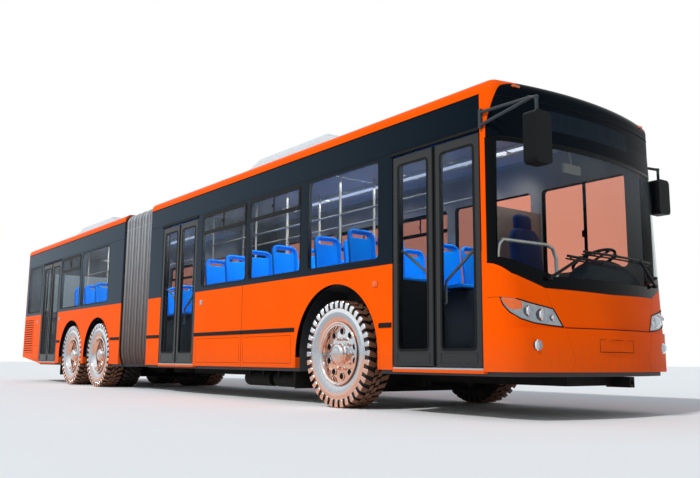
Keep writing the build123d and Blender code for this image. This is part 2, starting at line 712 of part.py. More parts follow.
# Wheels: rims turned about Y, tyres with flat facets round the same axis.
def turned(points):
    face = make_face(Polyline(*points, close=True))
    return revolve(face, Axis.Y)


def tyre_band(r0, y0, r1, y1):
    angles = [2 * pi * k / TYRE_SIDES for k in range(TYRE_SIDES)]
    near = [(r0 * cos(a), y0, r0 * sin(a)) for a in angles]
    far = [(r1 * cos(a), y1, r1 * sin(a)) for a in angles]
    outlines = [near, far]
    for k in range(TYRE_SIDES):
        j = (k + 1) % TYRE_SIDES
        outlines.append([near[k], near[j], far[j], far[k]])
    faces = [make_face(Polyline(*points, close=True)).face() for points in outlines]
    return Solid(Shell(faces))


# Tyre: sloping sides up to the crest, then a crown that is plain or cut into deep cross lugs.
CREST_R = 465.0
LUG_SHARE = 0.52
LUG_ROOT = 1.3
LUG_DEPTH = 36.0


def lug_outline():
    half_top = pi / TYRE_SIDES * LUG_SHARE
    half_root = half_top * LUG_ROOT
    top_r = TYRE_R / cos(half_top)
    root_r = TYRE_R - LUG_DEPTH
    corners = ((root_r, -half_root), (top_r, -half_top), (top_r, half_top), (root_r, half_root))
    points = []
    for k in range(TYRE_SIDES):
        middle = pi / 2 + 2 * pi * k / TYRE_SIDES
        points += [(r * cos(middle + a), r * sin(middle + a)) for r, a in corners]
    return make_face(Polyline(*points, close=True))


def tyre(y_mid, lugged):
    half = TYRE_W / 2
    bead = half - 42
    plain = RegularPolygon(TYRE_R, TYRE_SIDES, major_radius=False, rotation=180 / TYRE_SIDES)
    outline = lug_outline() if lugged else plain
    start = Plane(origin=(0, -half, 0), x_dir=(1, 0, 0), z_dir=(0, 1, 0))
    crown = extrude(start * outline, TYRE_W)
    near_dish = tyre_band(CREST_R, -half, TYRE_BEAD_R, -bead)
    far_dish = tyre_band(TYRE_BEAD_R, bead, CREST_R, half)
    bore = tyre_band(TYRE_BEAD_R - TYRE_TOE, -half, TYRE_BEAD_R - TYRE_TOE, half)
    return Pos(0, y_mid, 0) * (crown - near_dish - far_dish - bore)


# Rim: drop-centre barrel whose flanges hold the tyre, closed by a disc; face looks towards +Y.
def rim(y_mid, disc_y, flip):
    half = TYRE_W / 2
    seat_r = (TYRE_BEAD_R - TYRE_TOE) * cos(pi / TYRE_SIDES) - SEAT_GAP
    barrel = [
        (seat_r, -half + 30),
        (seat_r, half - 30),
        (seat_r - RIM_WALL, half - 30),
        (seat_r - RIM_WALL - 20, half - 90),
        (seat_r - RIM_WALL - 20, -half + 90),
        (seat_r - RIM_WALL, -half + 30),
    ]
    shell = turned(barrel)
    disc = turned([
        (SPINDLE_R + SEAT_GAP + 5, disc_y - 9),
        (seat_r - 5, disc_y - 24),
        (seat_r - 5, disc_y - 8),
        (SPINDLE_R + SEAT_GAP + 5, disc_y + 9),
    ])
    shape = shell.fuse(disc)
    if flip:
        shape = Rot(0, 0, 180) * shape
    return Pos(0, y_mid, 0) * shape


TWIN_DISC = 20.0
HAND_HOLES = 10
HAND_HOLE_R = 30.0
HAND_RING = 245.0


def hub(y_in, y_out):
    face = [
        (SPINDLE_R + SEAT_GAP, y_in),
        (HUB_R, y_in),
        (HUB_R, y_out - 60),
        (82, y_out),
        (0, y_out),
        (0, y_out - 25),
        (SPINDLE_R + SEAT_GAP, y_out - 25),
    ]
    return turned(face)


def holes(y0, y1):
    made = []
    for i in range(HAND_HOLES):
        turn = radians(360 / HAND_HOLES * (i + 0.5))
        x, z = HAND_RING * cos(turn), HAND_RING * sin(turn)
        made.append(tube((x, y0, z), (x, y1, z), HAND_HOLE_R))
    return made


def front_wheel(side):
    disc_y = 75.0
    shape = rim(TYRE_MID, disc_y, False) - holes(TYRE_MID, TYRE_FACE)
    shape = shape.fuse(hub(TYRE_MID + 10, TYRE_FACE + 5))
    return shape, tyre(TYRE_MID, True)


def rear_wheel(side):
    inner_mid = TYRE_MID - TWIN_PITCH
    outer = rim(TYRE_MID, TWIN_DISC, False) - holes(TYRE_MID - 60, TYRE_FACE)
    inner = rim(inner_mid, TYRE_W / 2 - 60, False)
    drum = hub(inner_mid - 40, TYRE_FACE - 25)
    return fuse([outer, inner, drum]), group([tyre(TYRE_MID, True), tyre(inner_mid, False)])


def place(shape, axle, side):
    turn = Rot(0, 0, 0 if side > 0 else 180)
    return Pos(at(axle), 0, AXLE_Z) * turn * shape


for side, hand in ((1, "left"), (-1, "right")):
    rim_shape, tyre_shape = front_wheel(side)
    save(f"front_rim_{hand}", place(rim_shape, FRONT_AXLE, side))
    save(f"front_tyre_{hand}", place(tyre_shape, FRONT_AXLE, side))
    for number, axle in enumerate(REAR_AXLES, 1):
        rim_shape, tyre_shape = rear_wheel(side)
        save(f"rear_rims_{number}_{hand}", place(rim_shape, axle, side))
        save(f"rear_tyres_{number}_{hand}", place(tyre_shape, axle, side))

# Front axle: dropped beam, spring packs under the rails and a kingpin eye at each end.
BEAM_Z0 = 165.0
BEAM_Z1 = 230.0
EYE_Z0 = 480.0
EYE_Z1 = 690.0
beam = [block(FRONT_AXLE - 60, FRONT_AXLE + 60, -780, 780, BEAM_Z0, BEAM_Z1)]
for side in (-1, 1):
    riser = front_prism(
        [
            (side * 700, BEAM_Z0),
            (side * 780, BEAM_Z0),
            (side * 825, BEAM_Z0 + 60),
            (side * 825, EYE_Z0 + 20),
            (side * KINGPIN_Y, EYE_Z0 + 20),
            (side * KINGPIN_Y, EYE_Z1 - 20),
            (side * 765, EYE_Z1 - 20),
            (side * 765, BEAM_Z1 + 30),
        ],
        FRONT_AXLE - 45,
        FRONT_AXLE + 45,
    )
    beam.append(riser)
    eye_at = (at(FRONT_AXLE), side * KINGPIN_Y)
    beam.append(tube((*eye_at, EYE_Z0 - 20), (*eye_at, EYE_Z1 + 20), 48))
    spring_y = (side * RAIL_Y - 40, side * RAIL_Y + 40)
    beam.append(block(FRONT_AXLE - 520, FRONT_AXLE + 520, *spring_y, BEAM_Z1 - 1, FLOOR_LOW - RAIL_H))
axle_shape = fuse(beam)
for side in (-1, 1):
    eye_at = (at(FRONT_AXLE), side * KINGPIN_Y)
    axle_shape -= tube((*eye_at, 300), (*eye_at, 900), KINGPIN_R + SEAT_GAP)
save("front_axle", axle_shape)

# Knuckles: fork round the eye, pin through it, spindle for the wheel.
for side, hand in ((1, "left"), (-1, "right")):
    y = side * KINGPIN_Y
    x = at(FRONT_AXLE)
    back_y = (side * (KINGPIN_Y + 60), side * (KINGPIN_Y + 95))
    arm_y = (side * (KINGPIN_Y + 5), side * (KINGPIN_Y + 61))
    fork = [
        tube((x, y, EYE_Z0 - 20 - SEAT_GAP - 60), (x, y, EYE_Z0 - 20 - SEAT_GAP), 52),
        tube((x, y, EYE_Z1 + 20 + SEAT_GAP), (x, y, EYE_Z1 + 20 + SEAT_GAP + 50), 52),
        tube((x, y, EYE_Z0 - 60), (x, y, EYE_Z1 + 60), KINGPIN_R),
        block(FRONT_AXLE - 50, FRONT_AXLE + 50, *back_y, EYE_Z0 - 80, EYE_Z1 + 70),
        block(FRONT_AXLE - 45, FRONT_AXLE + 45, *arm_y, EYE_Z0 - 80, EYE_Z0 - 20.3),
        block(FRONT_AXLE - 45, FRONT_AXLE + 45, *arm_y, EYE_Z1 + 20.3, EYE_Z1 + 70),
        tube((x, side * (KINGPIN_Y + 90), AXLE_Z), (x, side * (TYRE_FACE - 21), AXLE_Z), SPINDLE_R),
    ]
    save(f"knuckle_{hand}", fuse(fork))

# Rear axles: dropped beams with uprights inside the housings and a spindle for each twin wheel.
shapes = []
for axle in REAR_AXLES:
    parts = [block(axle - 70, axle + 70, -530, 530, BEAM_Z0 + 20, BEAM_Z1 + 20)]
    for side in (-1, 1):
        parts.append(block(axle - 70, axle + 70, side * 455, side * 525, BEAM_Z0 + 20, AXLE_Z + 80))
        spindle_end = (at(axle), side * (TYRE_FACE - 51), AXLE_Z)
        parts.append(tube((at(axle), side * 500, AXLE_Z), spindle_end, SPINDLE_R))
        spring_y = (side * RAIL_Y - 40, side * RAIL_Y + 40)
        parts.append(block(axle - 330, axle + 330, *spring_y, BEAM_Z1 + 19, FLOOR_LOW - RAIL_H))
    shapes.append(fuse(parts))
save("rear_axles", group(shapes))

# Underframes: two rails and cross members under each floor, meeting at the turntable.
RING_LOW = FLOOR_LOW - RAIL_H
MUDFLAP_T = 12.0


def ladder(s0, s1, crosses):
    parts = []
    for side in (-1, 1):
        rail_y = (side * RAIL_Y - RAIL_W / 2, side * RAIL_Y + RAIL_W / 2)
        parts.append(block(s0, s1, *rail_y, FLOOR_LOW - RAIL_H, FLOOR_LOW))
    for s in crosses:
        parts.append(block(s - 40, s + 40, -RAIL_Y, RAIL_Y, FLOOR_LOW - RAIL_H, FLOOR_LOW))
    return parts


TOW_R = 21.0
TOW_Z = FLOOR_LOW - 55.0
front_frame = ladder(300, JOINT_FRONT, (340, 1500, 4200, 5600, 7000))
front_frame.append(block(120, 380, 340, 420, TOW_Z - 50, TOW_Z + 50))
front_frame.append(block(7000, PIVOT, -120, 120, FLOOR_LOW - RAIL_H, FLOOR_LOW - 46))
front_frame.append(tube((at(PIVOT), 0, FLOOR_LOW - RAIL_H), (at(PIVOT), 0, FLOOR_LOW - 46), RING_R))
front_frame.append(tube((at(PIVOT), 0, FLOOR_LOW - 50), (at(PIVOT), 0, FLOOR_LOW + 20), RING_PIN_R))
frame = fuse(front_frame)
frame -= tube((at(100), 380, TOW_Z), (at(260), 380, TOW_Z), TOW_R)
flaps = []
for side in (-1, 1):
    s = FRONT_AXLE + ARCH_R + 100
    flaps.append(block(s, s + MUDFLAP_T, side * 850, side * 1180, 180, FLOOR_LOW))
save("front_underframe", group([frame] + flaps))

FRAME_END = BAY_S + 90.0
CRADLE_Z = 560.0
PLATE_R = JOINT_LENGTH / 2 - 8
rear_frame = ladder(JOINT_REAR, FRAME_END, (JOINT_REAR + 300, 10900, 12500, 13700))
for side in (-1, 1):
    y0, y1 = side * RAIL_Y - RAIL_W / 2, side * RAIL_Y + RAIL_W / 2
    rear_frame.append(block(BAY_S + 2, FRAME_END, y0, y1, FLOOR_LOW - RAIL_H, CRADLE_Z))
    rear_frame.append(block(BAY_S + 2, TAIL_ROOT, y0, y1, CRADLE_Z - RAIL_H, CRADLE_Z))
rear_frame.append(block(PIVOT, JOINT_REAR + 340, -120, 120, FLOOR_LOW - 45, FLOOR_LOW - 2))
rear_frame.append(tube((at(PIVOT), 0, FLOOR_LOW - 45), (at(PIVOT), 0, FLOOR_LOW - 2), RING_R))
rear_frame.append(tube((at(PIVOT), 0, FLOOR_LOW - 10), (at(PIVOT), 0, FLOOR_TOP - 20), RING_R - 60))
frame = fuse(rear_frame)
frame -= tube((at(PIVOT), 0, FLOOR_LOW - 60), (at(PIVOT), 0, FLOOR_LOW + 30), RING_PIN_R + SEAT_GAP)
frame = frame.fuse(tube((at(PIVOT), 0, FLOOR_TOP - 24), (at(PIVOT), 0, FLOOR_TOP), PLATE_R))
flaps = []
for side in (-1, 1):
    s = REAR_AXLES[-1] + REAR_ARCH_R + 60
    flaps.append(block(s, s + MUDFLAP_T, side * 700, side * 1180, 180, FLOOR_LOW))
save("rear_underframe", group([frame] + flaps))
save("engine", block(BAY_S + 120, TAIL_ROOT - 40, -520, 520, CRADLE_Z, 1280))


# Bellows: a hoop of cloth folds round the passage between the two sections.
def hoop(grow):
    width, height = 2 * (HALF - BELLOWS_IN - grow), 2 * (ROOF_TOP - BELLOWS_IN - grow)
    return Plane.YZ * RectangleRounded(width, height, ROOF_EDGE_R + 40 - grow)


pitch = JOINT_LENGTH / FOLDS
rows = [(0.0, FOLD_DEPTH)]
for i in range(FOLDS):
    rows.append((pitch * (i + 0.5), 0.0))
    rows.append((pitch * (i + 1.0), FOLD_DEPTH))
folds = []
for (x0, g0), (x1, g1) in zip(rows, rows[1:]):
    outer = loft([Pos(x0, 0, 0) * hoop(g0), Pos(x1, 0, 0) * hoop(g1)], ruled=True)
    folds.append(outer)
cloth = fuse(folds) - extrude(hoop(FOLD_DEPTH + BELLOWS_SKIN), JOINT_LENGTH)
cloth = Pos(at(JOINT_REAR), 0, 0) * cloth
below = block(JOINT_FRONT - 50, JOINT_REAR + 50, -2 * HALF, 2 * HALF, -2 * ROOF_TOP, SKIRT_Z)
save("bellows", cloth - below)

# Mirrors: a hoop of two tubes to a tall head ahead of the right corner, a short arm on the left.
ARM_R = 15.0
head_y = -MIRROR_REACH + MIRROR_W / 2
right_head = Pos(at(-MIRROR_LEAD + MIRROR_D / 2), head_y, 2308) * Box(MIRROR_D, MIRROR_W, MIRROR_H)
right_head = fillet(right_head.edges().filter_by(Axis.X), 45)
head_s = -MIRROR_LEAD + MIRROR_D / 2
arm_points = [
    (470, -HALF - 17, 2740),
    (-140, head_y + 60, 2700),
    (head_s, head_y, 2660),
    (head_s, head_y, 2500),
]
arms = []
for (s0, y0, z0), (s1, y1, z1) in zip(arm_points, arm_points[1:]):
    arms.append(tube((at(s0), y0, z0), (at(s1), y1, z1), ARM_R))
    arms.append(Pos(at(s1), y1, z1) * Sphere(ARM_R * 1.3))
arms.append(tube((at(470), -HALF - 17, 2620), (at(-160), head_y + 50, 2690), ARM_R))
arms.append(block(455, 485, -HALF - 30, -HALF, 2590, 2770))
left_head = Pos(at(330), MIRROR_REACH - MIRROR_W / 2, 2285) * Box(MIRROR_D, MIRROR_W, MIRROR_H - 60)
left_head = fillet(left_head.edges().filter_by(Axis.X), 45)
left_arm = [
    tube((at(470), HALF + 17, 2640), (at(330), MIRROR_REACH - 100, 2600), ARM_R),
    Pos(at(330), MIRROR_REACH - 100, 2600) * Sphere(ARM_R * 1.3),
    tube((at(330), MIRROR_REACH - 100, 2600), (at(330), MIRROR_REACH - 100, 2450), ARM_R),
    block(455, 485, HALF, HALF + 30, 2600, 2680),
]
save("mirrors", group([fuse([right_head] + arms), fuse([left_head] + left_arm)]))


# Wipers: an arm and a blade on a pivot post, lying just ahead of the screen.
def screen_s(y, z):
    k = (z - BUMPER_TOP) / (BROW_Z - BUMPER_TOP)
    depth = NOSE_ROOT - BUMPER_STEP - k * (BROW_SETBACK - BUMPER_STEP)
    bow = NOSE_BOW_R + k * (BROW_BOW_R - NOSE_BOW_R)
    return NOSE_ROOT - depth + bow - sqrt(bow ** 2 - y ** 2)


WIPERS = [[(-800, 1240), (-430, 1440), (180, 1400)], [(880, 1270), (557, 1497), (-371, 1504)]]
WIPER_OFF = 34.0
WIPER_POST_R = 12.0
wiper_shapes = []
for pivot, elbow, tip in WIPERS:
    points = [(at(screen_s(y, z) - WIPER_OFF), y, z) for y, z in (pivot, elbow, tip)]
    root = (at(screen_s(*pivot) - WIPER_POST_R * abs(pivot[0]) / NOSE_BOW_R), pivot[0], pivot[1])
    middle_y, middle_z = (elbow[0] + tip[0]) / 2, (elbow[1] + tip[1]) / 2
    middle = (at(screen_s(middle_y, middle_z) - WIPER_OFF), middle_y, middle_z)
    wiper_shapes.append(fuse([
        tube(root, points[0], WIPER_POST_R),
        Pos(*points[0]) * Box(30, 34, 34),
        tube(points[0], points[1], 9),
        Pos(*points[1]) * Box(26, 30, 30),
        tube(points[1], middle, 8),
        Pos(*middle) * Box(24, 28, 28),
        tube(middle, points[2], 8),
    ]))
save("wipers", group(wiper_shapes))
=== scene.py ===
import math

import bpy
from mathutils import Matrix, Vector


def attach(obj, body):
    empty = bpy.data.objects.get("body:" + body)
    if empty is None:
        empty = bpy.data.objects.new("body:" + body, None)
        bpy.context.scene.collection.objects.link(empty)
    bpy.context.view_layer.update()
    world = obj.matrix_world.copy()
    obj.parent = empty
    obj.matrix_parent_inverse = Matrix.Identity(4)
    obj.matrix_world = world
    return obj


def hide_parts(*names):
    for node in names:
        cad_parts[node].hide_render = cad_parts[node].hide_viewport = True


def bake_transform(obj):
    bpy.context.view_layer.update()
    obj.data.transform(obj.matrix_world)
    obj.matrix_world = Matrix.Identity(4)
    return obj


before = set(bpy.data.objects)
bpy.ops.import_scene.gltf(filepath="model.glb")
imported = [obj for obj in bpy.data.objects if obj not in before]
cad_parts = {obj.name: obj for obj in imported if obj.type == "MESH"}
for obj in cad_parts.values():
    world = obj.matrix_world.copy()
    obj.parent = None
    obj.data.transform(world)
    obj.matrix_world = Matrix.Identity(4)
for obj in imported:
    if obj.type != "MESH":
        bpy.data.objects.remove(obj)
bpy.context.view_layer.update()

# Painted side walls of both sections: sheet steel on a welded frame, orange up to the sill and
# gloss black between the windows, with a pale lining panel inside and black underseal in the arches.
# They are welded to the floor edge below and to the roof tray above.
NOSE = 7.525
SILL = 1.477
AXLE_Z = 0.583
FRONT_AXLE = 2700
REAR_AXLES = (10170, 11670)
# Inner face of the walls and underside of the roof tray, where the lining begins
LINING_Y, LINING_Z = 1.1915, 3.0065


def st(mm):
    return NOSE - mm / 1000.0


def colour(text):
    out = []
    for i in (1, 3, 5):
        c = int(text[i:i + 2], 16) / 255.0
        out.append(c / 12.92 if c <= 0.04045 else ((c + 0.055) / 1.055) ** 2.4)
    return (out[0], out[1], out[2], 1.0)


def start(name):
    mat = bpy.data.materials.new(name)
    mat.use_nodes = True
    mat.node_tree.nodes.clear()
    return mat


def node(mat, kind, *inputs, named=None, out=0, **settings):
    made = mat.node_tree.nodes.new("ShaderNode" + kind)
    for key, value in settings.items():
        setattr(made, key, value)
    pairs = list(zip(made.inputs, inputs))
    pairs += [(made.inputs[key], value) for key, value in (named or {}).items()]
    for socket, value in pairs:
        if isinstance(value, bpy.types.NodeSocket):
            mat.node_tree.links.new(value, socket)
        elif value is not None:
            socket.default_value = value
    return made.outputs[out] if made.outputs else None


def per_mm(size):
    return 1000.0 / size


# Two-pack coach enamel: saturated orange under lacquer, with dust towards the skirt and a faint
# orange-peel ripple that breaks up the reflections.
def coach_paint(name, band=None, arches=(), lined=False):
    mat = start(name)
    at = node(mat, "TexCoord", out=3)
    x = node(mat, "SeparateXYZ", at)
    y, z = x.node.outputs[1], x.node.outputs[2]
    patch = node(mat, "TexNoise", at, None, per_mm(900), 3.0)
    paint = node(mat, "MixRGB", patch, colour("#F45203"), colour("#FD5E07"))
    low = node(mat, "MapRange", z, 0.75, 0.38, 0.0, 0.45)
    speck = node(mat, "TexNoise", at, None, per_mm(60), 5.0)
    dust = node(mat, "Math", low, speck, operation="MULTIPLY")
    paint = node(mat, "MixRGB", dust, paint, colour("#8A5A3A"))
    rough = node(mat, "MapRange", dust, 0.0, 0.5, 0.12, 0.5)
    if band:
        above = node(mat, "Math", z, SILL, operation="GREATER_THAN")
        behind = node(mat, "Math", x, band, operation="LESS_THAN")
        black = node(mat, "Math", above, behind, operation="MULTIPLY")
        # Painted reflection: the black band is greyed blue from the front post to the tail, standing in for sky
        # reflected in the lacquer.
        sheen = node(mat, "MapRange", x, st(500), st(15000), 0.0, 1.0)
        lacquer_with_painted_reflection = node(mat, "MixRGB", sheen, colour("#0E1820"), colour("#4A5763"))
        paint = node(mat, "MixRGB", black, paint, lacquer_with_painted_reflection)
        rough = node(mat, "MixRGB", black, rough, (0.1, 0.1, 0.1, 1.0))
    for axle, radius in arches:
        dx = node(mat, "Math", x, st(axle), operation="SUBTRACT")
        dz = node(mat, "Math", z, AXLE_Z, operation="SUBTRACT")
        flat = node(mat, "CombineXYZ", dx, 0.0, dz)
        reach = node(mat, "VectorMath", flat, operation="LENGTH", out=1)
        inside = node(mat, "Math", reach, radius + 0.001, operation="LESS_THAN")
        paint = node(mat, "MixRGB", inside, paint, colour("#08090A"))
    if lined:
        width = node(mat, "Math", y, operation="ABSOLUTE")
        inner = node(mat, "Math", width, LINING_Y, operation="LESS_THAN")
        under = node(mat, "Math", z, LINING_Z, operation="LESS_THAN")
        lining = node(mat, "Math", inner, under, operation="MULTIPLY")
        paint = node(mat, "MixRGB", lining, paint, colour("#8C8782"))
    peel = node(mat, "TexNoise", at, None, per_mm(14), 3.0)
    bump = node(mat, "Bump", named={"Height": peel, "Distance": 0.00004})
    sockets = {"Base Color": paint, "Roughness": rough, "Normal": bump}
    sockets["Specular IOR Level"] = 0.01
    node(mat, "OutputMaterial", node(mat, "BsdfPrincipled", named=sockets))
    return mat


def dress(name, mat):
    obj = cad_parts[name]
    obj.data.materials.clear()
    obj.data.materials.append(mat)
    return obj


FRONT_ARCH = ((FRONT_AXLE, 0.757),)
REAR_ARCHES = tuple((s, 0.69) for s in REAR_AXLES)
# The black band starts behind the front corner post; on the rear section it runs the whole length
BAND_FRONT, BAND_REAR = st(497), 99.0
orange = coach_paint("orange coach enamel")
roof_orange = coach_paint("roof coach enamel with pale lining", lined=True)
wall_front = coach_paint("orange and black coach enamel front", BAND_FRONT, FRONT_ARCH, lined=True)
wall_rear = coach_paint("orange and black coach enamel rear", BAND_REAR, REAR_ARCHES, lined=True)
for hand in ("right", "left"):
    dress(f"front_wall_{hand}", wall_front)
    dress(f"rear_wall_{hand}", wall_rear)
for name in ("front_roof", "rear_roof"):
    dress(name, roof_orange)
for name in ("front_panels", "rear_panel", "engine_lid"):
    dress(name, orange)


# Trim on the walls: rub strips along the skirt, drip rails under the roof, skirt seams, hatch
# outlines and rolled arch lips. Extruded rubber and folded steel, clipped or welded to the wall.
# Plain finish: a base colour broken by patches, with a fine grain that catches the light.
def finish(name, hexcode, rough, metal=0.0, coat=0.0, tint=0.12, patch_mm=180.0, grain_mm=3.0, depth_mm=0.02):
    mat = start(name)
    at = node(mat, "TexCoord", out=3)
    base = colour(hexcode)
    dark = tuple(c * (1.0 - tint) for c in base[:3]) + (1.0,)
    light = tuple(min(1.0, c * (1.0 + tint)) for c in base[:3]) + (1.0,)
    patch = node(mat, "TexNoise", at, None, per_mm(patch_mm), 3.0)
    grain = node(mat, "TexNoise", at, None, per_mm(grain_mm), 3.0)
    sockets = {
        "Base Color": node(mat, "MixRGB", patch, dark, light),
        "Roughness": node(mat, "MapRange", grain, 0.0, 1.0, max(0.02, rough - 0.06), min(1.0, rough + 0.06)),
        "Normal": node(mat, "Bump", named={"Height": grain, "Distance": depth_mm / 1000.0}),
        "Metallic": metal,
        "Coat Weight": coat,
        "Coat Roughness": 0.04,
    }
    if not metal:
        sockets["Specular IOR Level"] = 0.12
    node(mat, "OutputMaterial", node(mat, "BsdfPrincipled", named=sockets))
    return mat


def bag():
    return [], []


def box(b, x0, x1, y0, y1, z0, z1):
    v, f = b
    n = len(v)
    for x in (x0, x1):
        for y in (y0, y1):
            for z in (z0, z1):
                v.append((x, y, z))
    for q in ((0, 1, 3, 2), (4, 6, 7, 5), (0, 4, 5, 1), (2, 3, 7, 6), (0, 2, 6, 4), (1, 5, 7, 3)):
        f.append(tuple(n + i for i in q))


def rod(b, points, radius, sides=10):
    v, f = b
    pts = [Vector(p) for p in points]
    n = len(v)
    side = None
    for i, p in enumerate(pts):
        run = (pts[min(i + 1, len(pts) - 1)] - pts[max(i - 1, 0)]).normalized()
        if side is None:
            side = run.orthogonal().normalized()
        side = (side - run * side.dot(run)).normalized()
        other = run.cross(side)
        for k in range(sides):
            a = 2 * math.pi * k / sides
            v.append(tuple(p + (side * math.cos(a) + other * math.sin(a)) * radius))
    for i in range(len(pts) - 1):
        for k in range(sides):
            j = (k + 1) % sides
            f.append((n + i * sides + k, n + i * sides + j, n + (i + 1) * sides + j, n + (i + 1) * sides + k))
    f.append(tuple(n + k for k in reversed(range(sides))))
    f.append(tuple(n + (len(pts) - 1) * sides + k for k in range(sides)))


def lathe(b, profile, centre, segments, closed=False):
    v, f = b
    n = len(v)
    m = len(profile)
    for k in range(segments):
        a = 2 * math.pi * k / segments
        for r, y in profile:
            v.append((centre[0] + r * math.cos(a), centre[1] + y, centre[2] + r * math.sin(a)))
    last = m if closed else m - 1
    for k in range(segments):
        j = (k + 1) % segments
        for i in range(last):
            h = (i + 1) % m
            f.append((n + k * m + i, n + j * m + i, n + j * m + h, n + k * m + h))


def prism(b, outline, y0, y1):
    v, f = b
    n = len(v)
    m = len(outline)
    for y in (y0, y1):
        v.extend((x, y, z) for x, z in outline)
    f.append(tuple(n + i for i in range(m)))
    f.append(tuple(n + m + i for i in reversed(range(m))))
    for i in range(m):
        j = (i + 1) % m
        f.append((n + i, n + m + i, n + m + j, n + j))


def ring(b, outer, inner, y0, y1, closed=True):
    v, f = b
    n = len(v)
    m = len(outer)
    for y in (y0, y1):
        v.extend((x, y, z) for x, z in outer)
        v.extend((x, y, z) for x, z in inner)
    for i in range(m if closed else m - 1):
        j = (i + 1) % m
        f.append((n + i, n + j, n + m + j, n + m + i))
        f.append((n + 2 * m + i, n + 3 * m + i, n + 3 * m + j, n + 2 * m + j))
        f.append((n + i, n + 2 * m + i, n + 2 * m + j, n + j))
        f.append((n + m + i, n + m + j, n + 3 * m + j, n + 3 * m + i))


def rounded(x0, x1, z0, z1, r, steps=5):
    points = []
    corners = ((x1 - r, z1 - r), (x0 + r, z1 - r), (x0 + r, z0 + r), (x1 - r, z0 + r))
    for quarter, (cx, cz) in enumerate(corners):
        for k in range(steps + 1):
            a = math.radians(90 * quarter + 90 * k / steps)
            points.append((cx + r * math.cos(a), cz + r * math.sin(a)))
    return points


def piece(name, b, mat, body, edge=0.0, smooth=False, place=None):
    mesh = bpy.data.meshes.new(name)
    mesh.from_pydata(b[0], [], b[1])
    mesh.validate()
    mesh.materials.append(mat)
    obj = bpy.data.objects.new(name, mesh)
    bpy.context.scene.collection.objects.link(obj)
    if place:
        obj.matrix_world = place
    weld = obj.modifiers.new("weld", "WELD")
    weld.merge_threshold = 0.00002
    if edge:
        soft = obj.modifiers.new("edges", "BEVEL")
        soft.width = edge
        soft.segments = 2
        soft.limit_method = "ANGLE"
        soft.angle_limit = math.radians(35)
    if smooth:
        mesh.shade_smooth()
        mesh.set_sharp_from_angle(angle=math.radians(38))
    if body:
        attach(obj, body)
    return obj


tail_lining = finish("grey laminate lining", "#7F8386", 0.5, tint=0.06, patch_mm=250, grain_mm=2)
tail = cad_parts["rear_panel"]
tail.data.materials.append(tail_lining)
for face in tail.data.polygons:
    if face.normal.x > 0.3 and face.center.x > st(15330):
        face.material_index = 1
# EPDM rubber is a dull near-black; grained ABS is a little shinier; seams read as unlit gaps.
rubber = finish("extruded rubber", "#141516", 0.6, tint=0.2, patch_mm=90, grain_mm=2, depth_mm=0.05)
plastic = finish("black grained plastic", "#101113", 0.45, tint=0.2, patch_mm=120, grain_mm=1.2, depth_mm=0.06)
gap_black = finish("shadowed seam", "#070708", 0.8, tint=0.1)
for hand in ("right", "left"):
    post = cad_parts[f"front_wall_{hand}"].data
    post.materials.append(plastic)
    for face in post.polygons:
        if face.normal.x > 0.5 and face.center.x > st(470):
            face.material_index = 1
satin_steel = finish("satin steel", "#B9BBBC", 0.3, metal=1.0, tint=0.08, patch_mm=40, grain_mm=1)
RUB_Z = (0.838, 0.888)
SKIRT = 0.425
# Rub strip runs: body, side, stations of the ends
RUB_RUNS = (
    ("front_section", -1, ((1728, 1925), (3492, 4745), (4755, 6125), (7358, 7834))),
    ("rear_section", -1, ((9040, 9472), (12370, 12578))),
    ("front_section", 1, ((520, 1925), (3492, 4745), (4755, 7834))),
    ("rear_section", 1, ((9040, 9472), (12370, 14320))),
)
# Skirt hatches: stations of the ends, below the rub strip
HATCHES = {"front_section": ((3560, 4700), (4800, 6060)), "rear_section": ((12410, 12560), (13860, 14300))}
for body, side, runs in RUB_RUNS:
    strip, lines = bag(), bag()
    for s0, s1 in runs:
        box(strip, st(s1), st(s0), side * 1.249, side * 1.259, *RUB_Z)
        box(strip, st(s1), st(s0), side * 1.249, side * 1.2625, RUB_Z[0] + 0.017, RUB_Z[1] - 0.017)
    piece(f"rub_strip_{body}_{side + 1}", strip, rubber, body, edge=0.003)
    s_end = (497, 7838) if body == "front_section" else (9035, 15046)
    box(lines, st(s_end[1]), st(s_end[0]), side * 1.2495, side * 1.2530, 2.915, 2.927)
    box(lines, st(s_end[1]), st(s_end[0]), side * 1.2495, side * 1.2512, 2.622, 2.626)
    if body == "front_section":
        box(lines, st(4753), st(4747), side * 1.2495, side * 1.2508, 0.43, SILL)
    for s0, s1 in HATCHES[body]:
        if side > 0 or body == "front_section" or s0 > 13000:
            outer = rounded(st(s1), st(s0), 0.47, 0.80, 0.02)
            inner = rounded(st(s1) + 0.004, st(s0) - 0.004, 0.474, 0.796, 0.016)
            ring(lines, outer, inner, side * 1.2496, side * 1.2506)
    piece(f"drip_rail_and_seams_{body}_{side + 1}", lines, gap_black, body)


def arch_lip(axle, radius, side, body, name):
    lip = bag()
    outer, inner = [], []
    for k in range(41):
        a = math.radians(180 - 180 * k / 40)
        for r, store in ((radius + 0.026, outer), (radius + 0.001, inner)):
            store.append((st(axle) + r * math.cos(a), AXLE_Z + r * math.sin(a)))
    outer = [(outer[0][0], SKIRT)] + outer + [(outer[-1][0], SKIRT)]
    inner = [(inner[0][0], SKIRT)] + inner + [(inner[-1][0], SKIRT)]
    ring(lip, outer, inner, side * 1.246, side * 1.2545, closed=False)
    piece(name, lip, orange, body, edge=0.002, smooth=True)


for side, hand in ((-1, "right"), (1, "left")):
    for body, arches in (("front_section", FRONT_ARCH), ("rear_section", REAR_ARCHES)):
        for i, (axle, radius) in enumerate(arches):
            arch_lip(axle, radius, side, body, f"arch_lip_{body}_{i}_{hand}")
